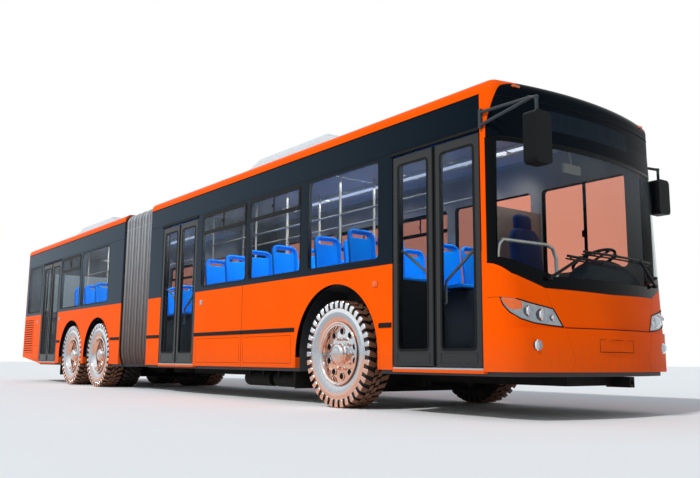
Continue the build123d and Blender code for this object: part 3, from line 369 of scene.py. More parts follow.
# Door key boxes: name, body, height of the underside, stations
KEY_BOXES = (
    ("door_key_box_front", "front_section", 1.285, (5924,)),
    ("door_key_boxes_rear", "rear_section", 1.30, (12462, 14040)),
)
for name, body, z, key_stations in KEY_BOXES:
    boxes = bag()
    for s in key_stations:
        box(boxes, st(s + 32), st(s - 32), -1.262, -1.248, z, z + 0.067)
        box(boxes, st(s + 18), st(s - 18), -1.266, -1.258, z + 0.012, z + 0.055)
    piece(name, boxes, satin_steel, body, edge=0.004)

# Side windows: toughened glass bonded flush into the black band, each with a thin rubber edge.
# Some have a sliding vent in a slim frame along the top; the driver's side carries a bronze film.
# Glass: what lies behind shows through in its tint, and the skin shines more at a slant. The skin colour is a
# painted sky reflection: near black low down, blue-grey in smeared patches above about 1.75 to 2.35 m.
def glazing(name, tint, facing, slanted, printed=None):
    mat = start(name)
    at = node(mat, "TexCoord", out=3)
    smear_and_reflection_patches = node(mat, "TexNoise", at, None, per_mm(350), 4.0)
    # Painted reflection: the skin turns from near black to blue-grey with height, in smeared patches, standing
    # in for the sky it reflects.
    level = node(mat, "SeparateXYZ", at, out=2)
    painted_sky_reflection = node(mat, "Math", node(mat, "MapRange", level, 1.75, 2.35), smear_and_reflection_patches, operation="MULTIPLY")
    skin = node(mat, "MixRGB", painted_sky_reflection, colour("#0A0C0D"), colour("#A9B6C0"))
    slant = node(mat, "LayerWeight", 0.4, out=1)
    amount = node(mat, "MapRange", slant, 0.0, 1.0, facing, slanted)
    if printed:
        x = node(mat, "SeparateXYZ", at)
        mask = printed(mat, x, x.node.outputs[1], x.node.outputs[2])
        amount = node(mat, "Math", amount, mask, operation="MAXIMUM")
        skin = node(mat, "MixRGB", mask, skin, colour("#05080B"))
    rough = node(mat, "MapRange", smear_and_reflection_patches, 0.0, 1.0, 0.02, 0.06)
    sockets = {"Base Color": skin, "Roughness": rough, "IOR": 1.52, "Specular IOR Level": 0.05}
    face = node(mat, "BsdfPrincipled", named=sockets)
    see = node(mat, "BsdfTransparent", colour(tint))
    node(mat, "OutputMaterial", node(mat, "MixShader", amount, see, face))
    return mat


clear_glass = glazing("grey toughened glass", "#DCE2E6", 0.05, 0.3)
bronze_glass = glazing("bronze filmed glass", "#FDCBBB", 0.02, 0.16)


def two_sided_glass(section):
    obj = dress(f"{section}_side_glass", clear_glass)
    obj.data.materials.append(bronze_glass)
    for face in obj.data.polygons:
        if face.center.y > 1.0:
            face.material_index = 1


two_sided_glass("front")
two_sided_glass("rear")
frame_metal = finish("dark anodised frame", "#17191B", 0.4, metal=0.3, tint=0.15, grain_mm=1.5)
# Windows: stations of the ends; 1 for a sliding vent at the top, 2 for a sliding pane with an upright
WINDOWS = {
    ("front_section", -1): ((1930, 3245, 0), (3395, 4622, 1), (4690, 5970, 1)),
    ("front_section", 1): ((620, 1760, 2), (1930, 3245, 0), (3395, 4622, 1), (4690, 5970, 1), (6040, 7560, 0)),
    ("rear_section", -1): ((9720, 11205, 0), (11300, 12500, 1), (13920, 14900, 0)),
    ("rear_section", 1): (
        (9250, 9640, 0), (9720, 11205, 0), (11300, 12500, 1), (12590, 13800, 1), (13920, 14900, 0),
    ),
}
VENT_Z = 2.315
for (body, side), rows in WINDOWS.items():
    edges, vents = bag(), bag()
    for s0, s1, vent in rows:
        outer = rounded(st(s1) - 0.010, st(s0) + 0.010, 1.535, 2.600, 0.065)
        inner = rounded(st(s1) + 0.012, st(s0) - 0.012, 1.557, 2.578, 0.043)
        ring(edges, outer, inner, side * 1.2485, side * 1.2518)
        x0, x1 = st(s1) + 0.016, st(s0) - 0.016
        mid = (x0 + x1) / 2
        if vent == 2:
            box(vents, mid - 0.022, mid + 0.022, side * 1.249, side * 1.2560, 1.557, 2.578)
            box(vents, mid - 0.050, mid - 0.022, side * 1.249, side * 1.2600, 1.95, 2.03)
        if vent == 1:
            outer = rounded(x0, x1, VENT_Z, 2.578, 0.03)
            inner = rounded(x0 + 0.030, x1 - 0.030, VENT_Z + 0.032, 2.546, 0.012)
            ring(vents, outer, inner, side * 1.249, side * 1.2570)
            box(vents, x0, x1, side * 1.249, side * 1.2560, VENT_Z - 0.022, VENT_Z + 0.012)
            box(vents, mid - 0.012, mid + 0.012, side * 1.249, side * 1.2545, VENT_Z + 0.02, 2.56)
            box(vents, mid - 0.035, mid - 0.012, side * 1.249, side * 1.2600, VENT_Z + 0.10, VENT_Z + 0.14)
    piece(f"window_edges_{body}_{side + 1}", edges, rubber, body, smooth=True)
    if vents[0]:
        piece(f"vent_frames_{body}_{side + 1}", vents, plastic, body, edge=0.0015)

# Nose: moulded panels on the front frame, a wide laminated screen with a black printed border,
# and a gloss black dome above it that holds a dark, blank route display.
def printed_border(mat, x, y, z):
    side_y = node(mat, "Math", y, operation="ABSOLUTE")
    past = node(mat, "Math", node(mat, "Math", side_y, 0.7, operation="SUBTRACT"), 0.0, operation="MAXIMUM")
    rise = node(mat, "Math", past, 0.3, operation="MULTIPLY")
    level = node(mat, "Math", z, rise, operation="SUBTRACT")
    low = node(mat, "Math", level, 1.255, operation="LESS_THAN")
    high = node(mat, "Math", z, 2.46, operation="GREATER_THAN")
    ends = node(mat, "Math", x, st(345), operation="LESS_THAN")
    either = node(mat, "Math", low, high, operation="MAXIMUM")
    return node(mat, "Math", either, ends, operation="MAXIMUM")


dress("windscreen", glazing("laminated screen with printed border", "#F5F8F8", 0.03, 0.2, printed_border))
# Gloss black lacquer over moulded plastic; the display shows as a bluer window with a faint dot grid.
dome = start("gloss black dome with blank display")
at = node(dome, "TexCoord", out=3)
x = node(dome, "SeparateXYZ", at)
y, z = x.node.outputs[1], x.node.outputs[2]
wide = node(dome, "Math", node(dome, "Math", y, operation="ABSOLUTE"), 0.62, operation="LESS_THAN")
tall = node(dome, "Math", z, 2.725, 0.095, operation="COMPARE")
ahead = node(dome, "Math", x, st(430), operation="GREATER_THAN")
panel = node(dome, "Math", node(dome, "Math", wide, tall, operation="MULTIPLY"), ahead, operation="MULTIPLY")
cells = node(dome, "TexVoronoi", named={"Vector": at, "Scale": per_mm(11), "Randomness": 0.0})
dots = node(dome, "Math", node(dome, "Math", cells, 0.3, operation="LESS_THAN"), panel, operation="MULTIPLY")
sheen = node(dome, "TexNoise", at, None, per_mm(400), 3.0)
base = node(dome, "MixRGB", sheen, colour("#050B11"), colour("#0A141D"))
base = node(dome, "MixRGB", panel, base, colour("#17222C"))
base = node(dome, "MixRGB", dots, base, colour("#202C36"))
corner = node(dome, "MapRange", z, 2.6, 3.05, st(430), st(300))
base = node(dome, "MixRGB", node(dome, "Math", x, corner, operation="LESS_THAN"), base, colour("#FA5907"))
swirl = node(dome, "TexNoise", at, None, per_mm(20), 2.0)
ripple = node(dome, "Bump", named={"Height": swirl, "Distance": 0.00002})
sockets = {"Base Color": base, "Roughness": 0.08, "Specular IOR Level": 0.015, "Normal": ripple}
node(dome, "OutputMaterial", node(dome, "BsdfPrincipled", named=sockets))
dress("front_header", dome)
NOSE_ROOT = 0.44


def bowed(depth, bow, y):
    corner = (2 * bow * depth - depth ** 2 - 1.25 ** 2) / (2 * (bow - 1.25))
    cy = 1.25 - corner
    touch = bow * cy / (bow - corner)
    y = min(abs(y), 1.2499)
    if y <= touch:
        return depth - bow + math.sqrt(bow * bow - y * y)
    return math.sqrt(max(corner * corner - (y - cy) ** 2, 0.0))


def nose_point(y, z, off):
    depth, bow = NOSE_ROOT, 3.5
    if z >= 0.8:
        k = min(1.0, (z - 0.8) / 1.9)
        depth, bow = NOSE_ROOT - 0.025 - k * 0.139, 3.5 + k
    return (NOSE - NOSE_ROOT + bowed(depth, bow, y) + off, y, z)


seal = bag()
rod(seal, [nose_point(y / 20, 2.5, -0.001) for y in range(-24, 25)], 0.004, 8)
piece("screen_seal", seal, rubber, "front_section", smooth=True)
brow = bag()
rod(brow, [nose_point(y / 20, 2.88, 0.0) for y in range(-24, 25)], 0.005, 8)
rod(brow, [nose_point(y / 20, 0.803, 0.0) for y in range(-13, 14)], 0.007, 8)
# Outline of the blank plate: across, height
PLATE = ((-0.26, 0.60), (0.0, 0.60), (0.26, 0.60), (0.26, 0.71), (0.0, 0.71), (-0.26, 0.71))
plate = [nose_point(y, z, 0.0) for y, z in PLATE]
# Painted shade: a thin dark line round the plate stands for the shadow at the edge of its recess.
rod(brow, plate + [plate[0]], 0.0025, 6)
piece("nose_seams", brow, gap_black, "front_section", smooth=True)


def nose_patch(b, outline, off, back):
    v, f = b
    n = len(v)
    m = len(outline)
    cy = sum(p[0] for p in outline) / m
    cz = sum(p[1] for p in outline) / m
    rings = 5
    for k in range(rings):
        t = k / rings
        for y, z in outline:
            v.append(nose_point(y + (cy - y) * t, z + (cz - z) * t, off))
    v.append(nose_point(cy, cz, off))
    for k in range(rings - 1):
        for i in range(m):
            j = (i + 1) % m
            f.append((n + k * m + i, n + k * m + j, n + (k + 1) * m + j, n + (k + 1) * m + i))
    for i in range(m):
        f.append((n + (rings - 1) * m + i, n + (rings - 1) * m + (i + 1) % m, n + rings * m))
    e = len(v)
    v.extend(nose_point(y, z, off - back) for y, z in outline)
    for i in range(m):
        j = (i + 1) % m
        f.append((n + i, e + i, e + j, n + j))


# Headlamps: clear moulded covers over a bright bowl with round reflectors and an amber end.
# Each is clipped into its opening in the nose; round fog lamps sit in the bumper.
def smooth_outline(points, steps=6):
    m = len(points)
    out = []
    for i in range(m):
        p0, p1, p2, p3 = (Vector(points[(i + k - 1) % m]) for k in range(4))
        for k in range(steps):
            t = k / steps
            a = 2 * p1 + (p2 - p0) * t
            a += (2 * p0 - 5 * p1 + 4 * p2 - p3) * t ** 2 + (3 * p1 - p0 - 3 * p2 + p3) * t ** 3
            out.append((a.x / 2, a.y / 2))
    return out


LAMP = (
    (0.672, 0.813), (0.843, 0.826), (0.977, 0.842), (1.101, 0.877), (1.173, 0.928),
    (1.206, 0.986), (1.222, 1.056), (1.11, 1.042), (0.998, 1.013), (0.765, 0.968),
)
# Vacuum-plated bowls are near mirrors; lenses are coloured and wet-looking with fine flutes.
chrome = finish("plated reflector", "#E6E8EA", 0.08, metal=1.0, tint=0.05, grain_mm=6, depth_mm=0.1)
bowl = finish("plated lamp bowl", "#8E959B", 0.2, metal=0.85, tint=0.35, patch_mm=45, grain_mm=8, depth_mm=0.5)
amber = finish("amber lens", "#E4620C", 0.12, coat=1.0, tint=0.25, patch_mm=15, grain_mm=4, depth_mm=0.3)
clear_lens = finish(
    "clear fluted lens", "#D5DDE2", 0.08, coat=1.0, tint=0.2, patch_mm=12, grain_mm=4, depth_mm=0.3
)
dress("headlamps", bowl)


def disc(b, profile, segments, place):
    n = len(b[0])
    lathe(b, profile, (0, 0, 0), segments)
    for i in range(n, len(b[0])):
        b[0][i] = tuple(place @ Vector(b[0][i]))


def on_nose(y, z, off, swing):
    turn = Matrix.Rotation(math.radians(-90 - swing), 4, "Z")
    return Matrix.Translation(nose_point(y, z, off)) @ turn


# Amber end of the lamp: across, height
LAMP_END = ((1.085, 0.962), (1.165, 0.955), (1.198, 1.0), (1.212, 1.046), (1.09, 1.028))
# Reflectors: place across, height, radius
REFLECTORS = ((0.775, 0.888, 0.030), (0.885, 0.912, 0.056), (1.015, 0.942, 0.050))
for side, hand in ((-1, "right"), (1, "left")):
    outline = [(side * y, z) for y, z in LAMP]
    face = bag()
    nose_patch(face, [(y + (side * 0.96 - y) * 0.03, z + (0.93 - z) * 0.03) for y, z in outline], 0.001, 0.004)
    piece(f"lamp_bowl_{hand}", face, bowl, "front_section", smooth=True)
    shine, glow_caps = bag(), bag()
    for y, z, r in REFLECTORS:
        turn = on_nose(side * y, z, 0.002, side * y * 18)
        bowl_shape = [(r, -0.004), (r, 0.006), (r * 0.92, 0.008), (r * 0.84, 0.003), (r * 0.4, -0.001)]
        disc(shine, bowl_shape, 30, turn)
        disc(glow_caps, [(r * 0.84, 0.003), (r * 0.6, 0.007), (r * 0.3, 0.009), (0.0, 0.0095)], 30, turn)
    piece(f"lamp_reflectors_{hand}", shine, chrome, "front_section", smooth=True)
    piece(f"lamp_lenses_{hand}", glow_caps, clear_lens, "front_section", smooth=True)
    corner = bag()
    nose_patch(corner, smooth_outline([(side * y, z) for y, z in LAMP_END], 4), 0.003, 0.004)
    piece(f"corner_lamp_{hand}", corner, amber, "front_section", smooth=True)
    rim = bag()
    loop = [nose_point(y, z, 0.001) for y, z in outline]
    rod(rim, loop + [loop[0]], 0.006, 6)
    piece(f"lamp_rim_{hand}", rim, gap_black, "front_section", smooth=True)
    fog, fog_rim = bag(), bag()
    turn = on_nose(side * 0.965, 0.65, 0.0, side * 17)
    disc(fog, [(0.040, 0.001), (0.030, 0.007), (0.015, 0.010), (0.0, 0.011)], 30, turn)
    disc(fog_rim, [(0.052, -0.006), (0.052, 0.004), (0.047, 0.008), (0.040, 0.001)], 30, turn)
    piece(f"fog_lens_{hand}", fog, clear_lens, "front_section", smooth=True)
    piece(f"fog_rim_{hand}", fog_rim, chrome, "front_section", smooth=True)
markers = bag()
for side in (-1, 1):
    x = nose_point(side * 0.99, 2.9, 0.0)[0]
    box(markers, x - 0.045, x + 0.006, side * 0.945, side * 1.035, 2.985, 3.008)
    box(markers, st(2020), st(1944), side * 1.248, side * 1.266, 1.262, 1.322)
    box(markers, st(2008), st(1956), side * 1.262, side * 1.272, 1.274, 1.310)
piece("amber_markers", markers, amber, "front_section", edge=0.006)

# Doors: dark aluminium leaves with long panes, rubber fingers at the meeting edges and pale grab rails.
# Each leaf hangs on its own upright post; a drip rail runs above and a bright nosing edges the step.
door_paint = finish("dark grey door frame", "#1E2124", 0.36, metal=0.3, tint=0.12, grain_mm=2)
door_glass = glazing("grey door glass", "#D6DCE0", 0.05, 0.3)
rail_steel = finish("pale brushed grab rail", "#D9D4CE", 0.25, metal=0.6, tint=0.1, patch_mm=40, grain_mm=1)
DOORS = {"front": 501, "middle": 6133, "rear": 12586}
DOOR_W, EDGE, MID, STILE = 1216, 9, 24, 78
LEAF_Z = (0.466, 2.562)
for door, s0 in DOORS.items():
    owner = "rear_section" if door == "rear" else "front_section"
    width = (DOOR_W - MID) / 2 - EDGE
    for hand, label in ((1, "fore"), (-1, "aft")):
        leaf = f"{door}_leaf_{label}"
        dress(f"{door}_door_{label}", door_paint)
        dress(f"{door}_door_{label}_glass", door_glass)
        edge = s0 + EDGE if hand > 0 else s0 + DOOR_W - EDGE
        free = edge + hand * width
        seal = bag()
        x0, x1 = sorted((st(free - hand * 14), st(free + hand * 2.5)))
        box(seal, x0, x1, -1.2485, -1.2035, *LEAF_Z)
        x0, x1 = sorted((st(edge + hand * 8), st(edge - hand * 2)))
        box(seal, x0, x1, -1.2480, -1.2140, *LEAF_Z)
        piece(f"{leaf}_seal", seal, rubber, leaf, edge=0.003)
        trim = bag()
        x0, x1 = sorted((st(edge + hand * STILE), st(free - hand * STILE)))
        outer = rounded(x0 - 0.012, x1 + 0.012, 0.600, 2.488, 0.05)
        inner = rounded(x0 + 0.012, x1 - 0.012, 0.624, 2.464, 0.03)
        ring(trim, outer, inner, -1.2485, -1.2455)
        piece(f"{leaf}_pane_edge", trim, rubber, leaf, smooth=True)
        kick = bag()
        x0, x1 = sorted((st(edge + hand * 60), st(free - hand * 60)))
        outer = rounded(x0, x1, 0.486, 0.588, 0.012)
        inner = rounded(x0 + 0.01, x1 - 0.01, 0.496, 0.578, 0.006)
        ring(kick, outer, inner, -1.2490, -1.2450)
        piece(f"{leaf}_kick_panel", kick, frame_metal, leaf, edge=0.001)
        rail = bag()
        a, c, y = st(edge + hand * 82), st(free - hand * 48), -1.150
        route = [
            (a, -1.206, 1.60), (a, y, 1.585), ((a + c) / 2, y, 1.42),
            (c, y, 1.255), (c, y, 1.05), (c, -1.206, 1.035),
        ]
        rod(rail, route, 0.015, 12)
        piece(f"{leaf}_grab_rail", rail, rail_steel, leaf, smooth=True)
    sill = bag()
    box(sill, st(s0 + DOOR_W), st(s0), -1.2490, -1.192, 0.402, 0.432)
    piece(f"{door}_door_sill", sill, orange, owner, edge=0.004)
    nosing = bag()
    box(nosing, st(s0 + DOOR_W - 6), st(s0 + 6), -1.2495, -1.200, 0.432, 0.4475)
    for k in range(5):
        box(nosing, st(s0 + DOOR_W - 6), st(s0 + 6), -1.245 + k * 0.009, -1.241 + k * 0.009, 0.4475, 0.4495)
    piece(f"{door}_door_nosing", nosing, satin_steel, owner, edge=0.001)
    drip = bag()
    ends = st(s0 + DOOR_W + 25), st(s0 - (0 if door == "front" else 25))
    box(drip, *ends, -1.266, -1.248, 2.588, 2.612)
    box(drip, *ends, -1.270, -1.262, 2.582, 2.606)
    piece(f"{door}_door_drip_rail", drip, rubber, owner, edge=0.003)

# Inside: speckled floor covering, white ceiling with two light strips, pale poles and blue seats.
# Seats are one-piece plastic shells on pedestals; the ceiling panels clip under the roof tray.
floor_grey = finish("speckled vinyl floor", "#4B4E51", 0.6, tint=0.3, patch_mm=6, grain_mm=3, depth_mm=0.15)
pole_paint = finish("pale powder-coated tube", "#A39C90", 0.3, coat=0.4, tint=0.06, grain_mm=2)
ceiling_white = finish("white laminate ceiling", "#B3ADA8", 0.5, tint=0.05, patch_mm=300, grain_mm=2)
for section in ("front", "rear"):
    dress(f"{section}_floor", floor_grey)
    dress(f"{section}_handrails", pole_paint)
# Diffused tube light: an even white that is a touch brighter along each tube.
glow = start("ceiling light diffuser")
at = node(glow, "TexCoord", out=3)
level = node(glow, "MapRange", node(glow, "TexNoise", at, None, per_mm(300), 2.0), 0.0, 1.0, 0.7, 1.0)
sockets = {"Base Color": colour("#F2F4F6"), "Emission Color": colour("#F7FAFF"), "Emission Strength": level}
node(glow, "OutputMaterial", node(glow, "BsdfPrincipled", named=sockets))
CEILING_PANEL = 1200
for body, s0, s1 in (("front_section", 480, 7836), ("rear_section", 9038, 15040)):
    lining, strips = bag(), bag()
    count = int((s1 - s0) / CEILING_PANEL)
    box(lining, st(s1), st(s0), -1.11, 1.11, 2.985, 3.003)
    for side in (-1, 1):
        for y in (0.42, 0.66):
            box(lining, st(s1), st(s0 + 60), side * y, side * (y + 0.08), 2.955, 2.986)
        for k in range(count):
            a = s0 + 120 + k * CEILING_PANEL
            box(strips, st(min(a + 1120, s1)), st(a), side * 0.53, side * 0.62, 2.958, 2.984)
    for k in range(1, count + 1):
        s = s0 + k * CEILING_PANEL
        box(lining, st(s + 6), st(s - 6), -1.11, 1.11, 2.980, 2.986)
    piece(f"ceiling_{body}", lining, ceiling_white, body, edge=0.003)
    piece(f"ceiling_lights_{body}", strips, glow, body, edge=0.004)
# Moulded polypropylene: bright even blue with a soft shine and a fine leather grain.
seat_blue = finish(
    "blue moulded polypropylene", "#0A90FF", 0.35, tint=0.04, patch_mm=200, grain_mm=1.5, depth_mm=0.05
)
stand_grey = finish("grey pedestal paint", "#3E4144", 0.5, tint=0.15)
# Seat pairs: side, station of the back, height of what they stand on
SEAT_ROWS = {
    "front": (
        (-1, 2560, 1.358), (-1, 3210, 1.358), (-1, 4155, 0.93), (-1, 4780, 0.93), (-1, 5400, 0.93),
        (-1, 6010, 0.93), (1, 2700, 1.358), (1, 3350, 1.358), (1, 4155, 0.93), (1, 4880, 0.93),
        (1, 5600, 0.93), (1, 6320, 0.93), (1, 7040, 0.93),
    ),
    "rear": (
        (-1, 10640, 1.291), (-1, 11240, 1.291), (-1, 11840, 1.291), (1, 10040, 1.291), (1, 10640, 1.291),
        (1, 11240, 1.291), (1, 11840, 1.291), (1, 12900, 0.93), (1, 13560, 0.93),
    ),
}
PAN_Z, BACK_TOP, SHELL_HALF = 1.425, 1.975, 0.196
# Rings of the seat back from its rear edge over the raised rim to the recess: inset, forward
BACK_RINGS = ((0.0, -0.022), (0.0, 0.006), (0.012, 0.018), (0.03, 0.012), (0.046, -0.008))
# Seat pan in section, and its places across with the lift of the edges: forward, up; across, lift
PAN = (
    (-0.01, 0.0), (0.10, -0.012), (0.26, -0.010), (0.365, 0.004), (0.395, -0.012), (0.40, -0.04),
    (0.36, -0.042), (0.0, -0.042),
)
PAN_ROWS = ((-0.193, 0.012), (-0.15, 0.004), (0.0, 0.0), (0.15, 0.004), (0.193, 0.012))


def skin(b, rows, closed=True, caps=True):
    v, f = b
    n, m = len(v), len(rows[0])
    for row in rows:
        v.extend(row)
    for k in range(len(rows) - 1):
        for i in range(m if closed else m - 1):
            j = (i + 1) % m
            f.append((n + k * m + i, n + k * m + j, n + (k + 1) * m + j, n + (k + 1) * m + i))
    if caps:
        f.append(tuple(n + i for i in reversed(range(m))))
        f.append(tuple(n + (len(rows) - 1) * m + i for i in range(m)))


def seat_shell(b, s, y):
    v, f = b

    def lean(p, forward):
        t = (p[1] - PAN_Z) / (BACK_TOP - PAN_Z)
        wrap = 0.03 * (p[0] / SHELL_HALF) ** 2
        taper = 1.0 - 0.06 * (1.0 - t)
        return (st(s) + 0.004 + forward - 0.058 * t + wrap, y + p[0] * taper, p[1])

    grip = rounded(-0.115, 0.115, BACK_TOP - 0.098, BACK_TOP - 0.058, 0.019, 6)
    rings = []
    for inset, forward in BACK_RINGS:
        half = SHELL_HALF - inset
        outline = rounded(-half, half, PAN_Z - 0.03 + inset, BACK_TOP - inset, 0.105 - inset, 6)
        rings.append([lean(p, forward) for p in outline])
    rings.append([lean(p, -0.008) for p in grip])
    rings.append([lean(p, -0.030) for p in grip])
    rings.append([lean(p, -0.030) for p in rounded(-0.165, 0.165, PAN_Z, BACK_TOP - 0.03, 0.075, 6)])
    n, m = len(v), len(grip)
    for outline in rings:
        v.extend(outline)
    for k in range(len(rings)):
        h = (k + 1) % len(rings)
        for i in range(m):
            j = (i + 1) % m
            f.append((n + k * m + i, n + k * m + j, n + h * m + j, n + h * m + i))
    rows = []
    for across, lift in PAN_ROWS:
        rows.append([(st(s) + px, y + across, PAN_Z + pz + (lift if pz > -0.03 else 0.0)) for px, pz in PAN])
    skin(b, rows)


for section, rows in SEAT_ROWS.items():
    body = f"{section}_section"
    shells, stands = bag(), bag()
    for side, s, base in rows:
        for y in (0.968, 0.534):
            seat_shell(shells, s, side * y)
            box(stands, st(s - 110), st(s - 300), side * y - 0.09, side * y + 0.09, base, base + 0.012)
            box(stands, st(s - 150), st(s - 260), side * y - 0.05, side * y + 0.05, base, PAN_Z - 0.04)
            box(stands, st(s - 40), st(s - 340), side * y - 0.16, side * y + 0.16, PAN_Z - 0.055, PAN_Z - 0.04)
    shell = piece(f"{section}_seat_shells", shells, seat_blue, body, edge=0.004, smooth=True)
    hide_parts(f"{section}_seats")
    piece(f"{section}_seat_stands", stands, stand_grey, body, edge=0.003)

# Driver's place: soft black dashboard and wheel, a padded cloth seat, and a partition behind.
# The dashboard spans the nose behind the screen; the seat stands on a raised floor, and a bent
# tube guards the front door well.
# Cab mouldings: grained near-black for the dashboard and wheel, warm grey laminate for the partition.
cab_mat = start("cab plastic and laminate partition")
at = node(cab_mat, "TexCoord", out=3)
x = node(cab_mat, "SeparateXYZ", at)
grain = node(cab_mat, "TexNoise", at, None, per_mm(1.2), 3.0)
patch = node(cab_mat, "TexNoise", at, None, per_mm(160), 3.0)
dash_tone = node(cab_mat, "MixRGB", patch, colour("#101820"), colour("#1D2833"))
screen_tone = node(cab_mat, "MixRGB", patch, colour("#8D827B"), colour("#A0958E"))
behind = node(cab_mat, "Math", x, st(1700), operation="LESS_THAN")
sockets = {
    "Base Color": node(cab_mat, "MixRGB", behind, dash_tone, screen_tone),
    "Roughness": node(cab_mat, "MapRange", grain, 0.0, 1.0, 0.42, 0.58),
    "Normal": node(cab_mat, "Bump", named={"Height": grain, "Distance": 0.00006}),
    "Specular IOR Level": 0.25,
}
node(cab_mat, "OutputMaterial", node(cab_mat, "BsdfPrincipled", named=sockets))
dress("cab_fittings", cab_mat)
# Woven cloth: a dark blue weave with a soft edge of light where the pile catches it.
cloth = start("dark blue woven seat cloth")
at = node(cloth, "TexCoord", out=3)
weave = node(cloth, "TexNoise", at, None, per_mm(1.6), 3.0)
patch = node(cloth, "TexNoise", at, None, per_mm(60), 3.0)
sockets = {
    "Base Color": node(cloth, "MixRGB", patch, colour("#0C2C66"), colour("#153F84")),
    "Roughness": node(cloth, "MapRange", weave, 0.0, 1.0, 0.75, 0.95),
    "Normal": node(cloth, "Bump", named={"Height": weave, "Distance": 0.0004}),
    "Sheen Weight": 0.3,
}
node(cloth, "OutputMaterial", node(cloth, "BsdfPrincipled", named=sockets))
CAB_Y = 0.6


# A padded block: a fine box pushed out in the middle of each face, with stitched seams pressed in.
def cushion(b, low, high, lean, crown, seams):
    v, f = b
    count = 14
    mid = [(low[k] + high[k]) / 2 for k in range(3)]
    half = [(high[k] - low[k]) / 2 for k in range(3)]
    for axis in range(3):
        p, q = (axis + 1) % 3, (axis + 2) % 3
        for end in (-1, 1):
            n = len(v)
            for i in range(count + 1):
                for j in range(count + 1):
                    t = [0.0, 0.0, 0.0]
                    t[axis], t[p], t[q] = end, 2 * i / count - 1, 2 * j / count - 1
                    size = sum(abs(c) ** 5 for c in t) ** 0.2
                    r = [c / size for c in t]
                    press = sum(math.exp(-((r[1] - at) / 0.05) ** 2) for at in seams) * 0.008
                    swell = crown * (1 - r[p] ** 2) * (1 - r[q] ** 2) - press * abs(r[axis])
                    place = [mid[k] + half[k] * r[k] for k in range(3)]
                    place[axis] += end * swell
                    place[0] -= lean * (place[2] - low[2])
                    v.append(tuple(place))
            for i in range(count):
                for j in range(count):
                    a = n + i * (count + 1) + j
                    quad = (a, a + count + 1, a + count + 2, a + 1)
                    f.append(quad if end > 0 else quad[::-1])


# Pads of the driver's seat: corners, lean, crown, seams across
PADS = (
    ((1440, -0.24, 1.19), (1000, 0.24, 1.33), 0.0, 0.012, (-0.55, 0.55)),
    ((1535, -0.235, 1.25), (1420, 0.235, 2.01), 0.12, 0.014, (-0.5, 0.5)),
    ((1612, -0.13, 2.0), (1530, 0.13, 2.18), 0.1, 0.01, ()),
)
pad = bag()
for low, high, lean, crown, seams in PADS:
    ends = (st(low[0]), CAB_Y + low[1], low[2]), (st(high[0]), CAB_Y + high[1], high[2])
    cushion(pad, *ends, lean, crown, seams)
seat = piece("driver_seat_pads", pad, cloth, "front_section", smooth=True)
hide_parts("driver_seat")
base = bag()
box(base, st(1380), st(1130), CAB_Y - 0.15, CAB_Y + 0.15, 0.76, 0.90)
for k in range(4):
    box(base, st(1370), st(1140), CAB_Y - 0.14, CAB_Y + 0.14, 0.91 + k * 0.07, 0.96 + k * 0.07)
box(base, st(1300), st(1200), CAB_Y - 0.08, CAB_Y + 0.08, 0.9, 1.205)
piece("driver_seat_stand", base, plastic, "front_section", edge=0.006)
gauges = bag()
for dy in (-0.13, 0.0, 0.13):
    turn = Matrix.Translation((st(500), CAB_Y + dy, 1.235)) @ Matrix.Rotation(math.radians(90), 4, "Z")
    disc(gauges, [(0.05, 0.0), (0.05, 0.012), (0.044, 0.012), (0.042, 0.004), (0.0, 0.004)], 24, turn)
piece("dash_gauges", gauges, chrome, "front_section", smooth=True)
hood = bag()
# Cowl over the gauges in section: station, share of the crest
COWL = ((415, 0.0), (430, 0.75), (480, 0.97), (540, 1.0), (585, 0.94), (600, 0.80), (585, 0.78), (430, 0.0))
rows = []
for k in range(17):
    y = 0.05 + 1.09 * k / 16
    crest = 0.31 * math.sqrt(max(0.0, 1 - ((y - 0.595) / 0.55) ** 2)) + 0.03
    rows.append([(st(s), y, 1.215 + crest * h) for s, h in COWL])
skin(hood, rows)
piece("instrument_cowl", hood, cab_mat, "front_section", smooth=True)
guard = bag()
# Bent tube by the door well: across, height
GUARD = (
    (-1.13, 1.092), (-1.13, 1.46), (-1.115, 1.54), (-1.06, 1.59),
    (-0.45, 1.60), (-0.36, 1.575), (-0.31, 1.48), (-0.31, 1.092),
)
rod(guard, [(st(420), y, z) for y, z in GUARD], 0.018, 12)
piece("door_well_guard", guard, rail_steel, "front_section", smooth=True)
visor = bag()
box(visor, st(452), st(418), -0.13, 0.13, 2.36, 2.45)
rod(visor, [(st(440), 0.0, 2.44), (st(440), 0.0, 2.53), (st(470), 0.0, 2.60)], 0.009, 8)
piece("saloon_mirror", visor, ceiling_white, "front_section", edge=0.012)

# Bellows: coated cloth folded over light hoops, clamped to a frame on each section.
# It closes the gap round the turntable.
# Coated cloth: silvery grey where the rain washes it, browner with road dirt below, and near black painted
# shade in the valleys between the folds.
bellows_cloth = start("coated grey bellows cloth")
at = node(bellows_cloth, "TexCoord", out=3)
x = node(bellows_cloth, "SeparateXYZ", at)
z = x.node.outputs[2]
weave = node(bellows_cloth, "TexNoise", at, None, per_mm(2), 3.0)
grime = node(bellows_cloth, "TexNoise", at, None, per_mm(140), 5.0)
tone = node(bellows_cloth, "MixRGB", grime, colour("#A6A9AE"), colour("#D2D5D9"))
worn = node(bellows_cloth, "MapRange", z, 2.7, 0.45, 0.0, 0.95)
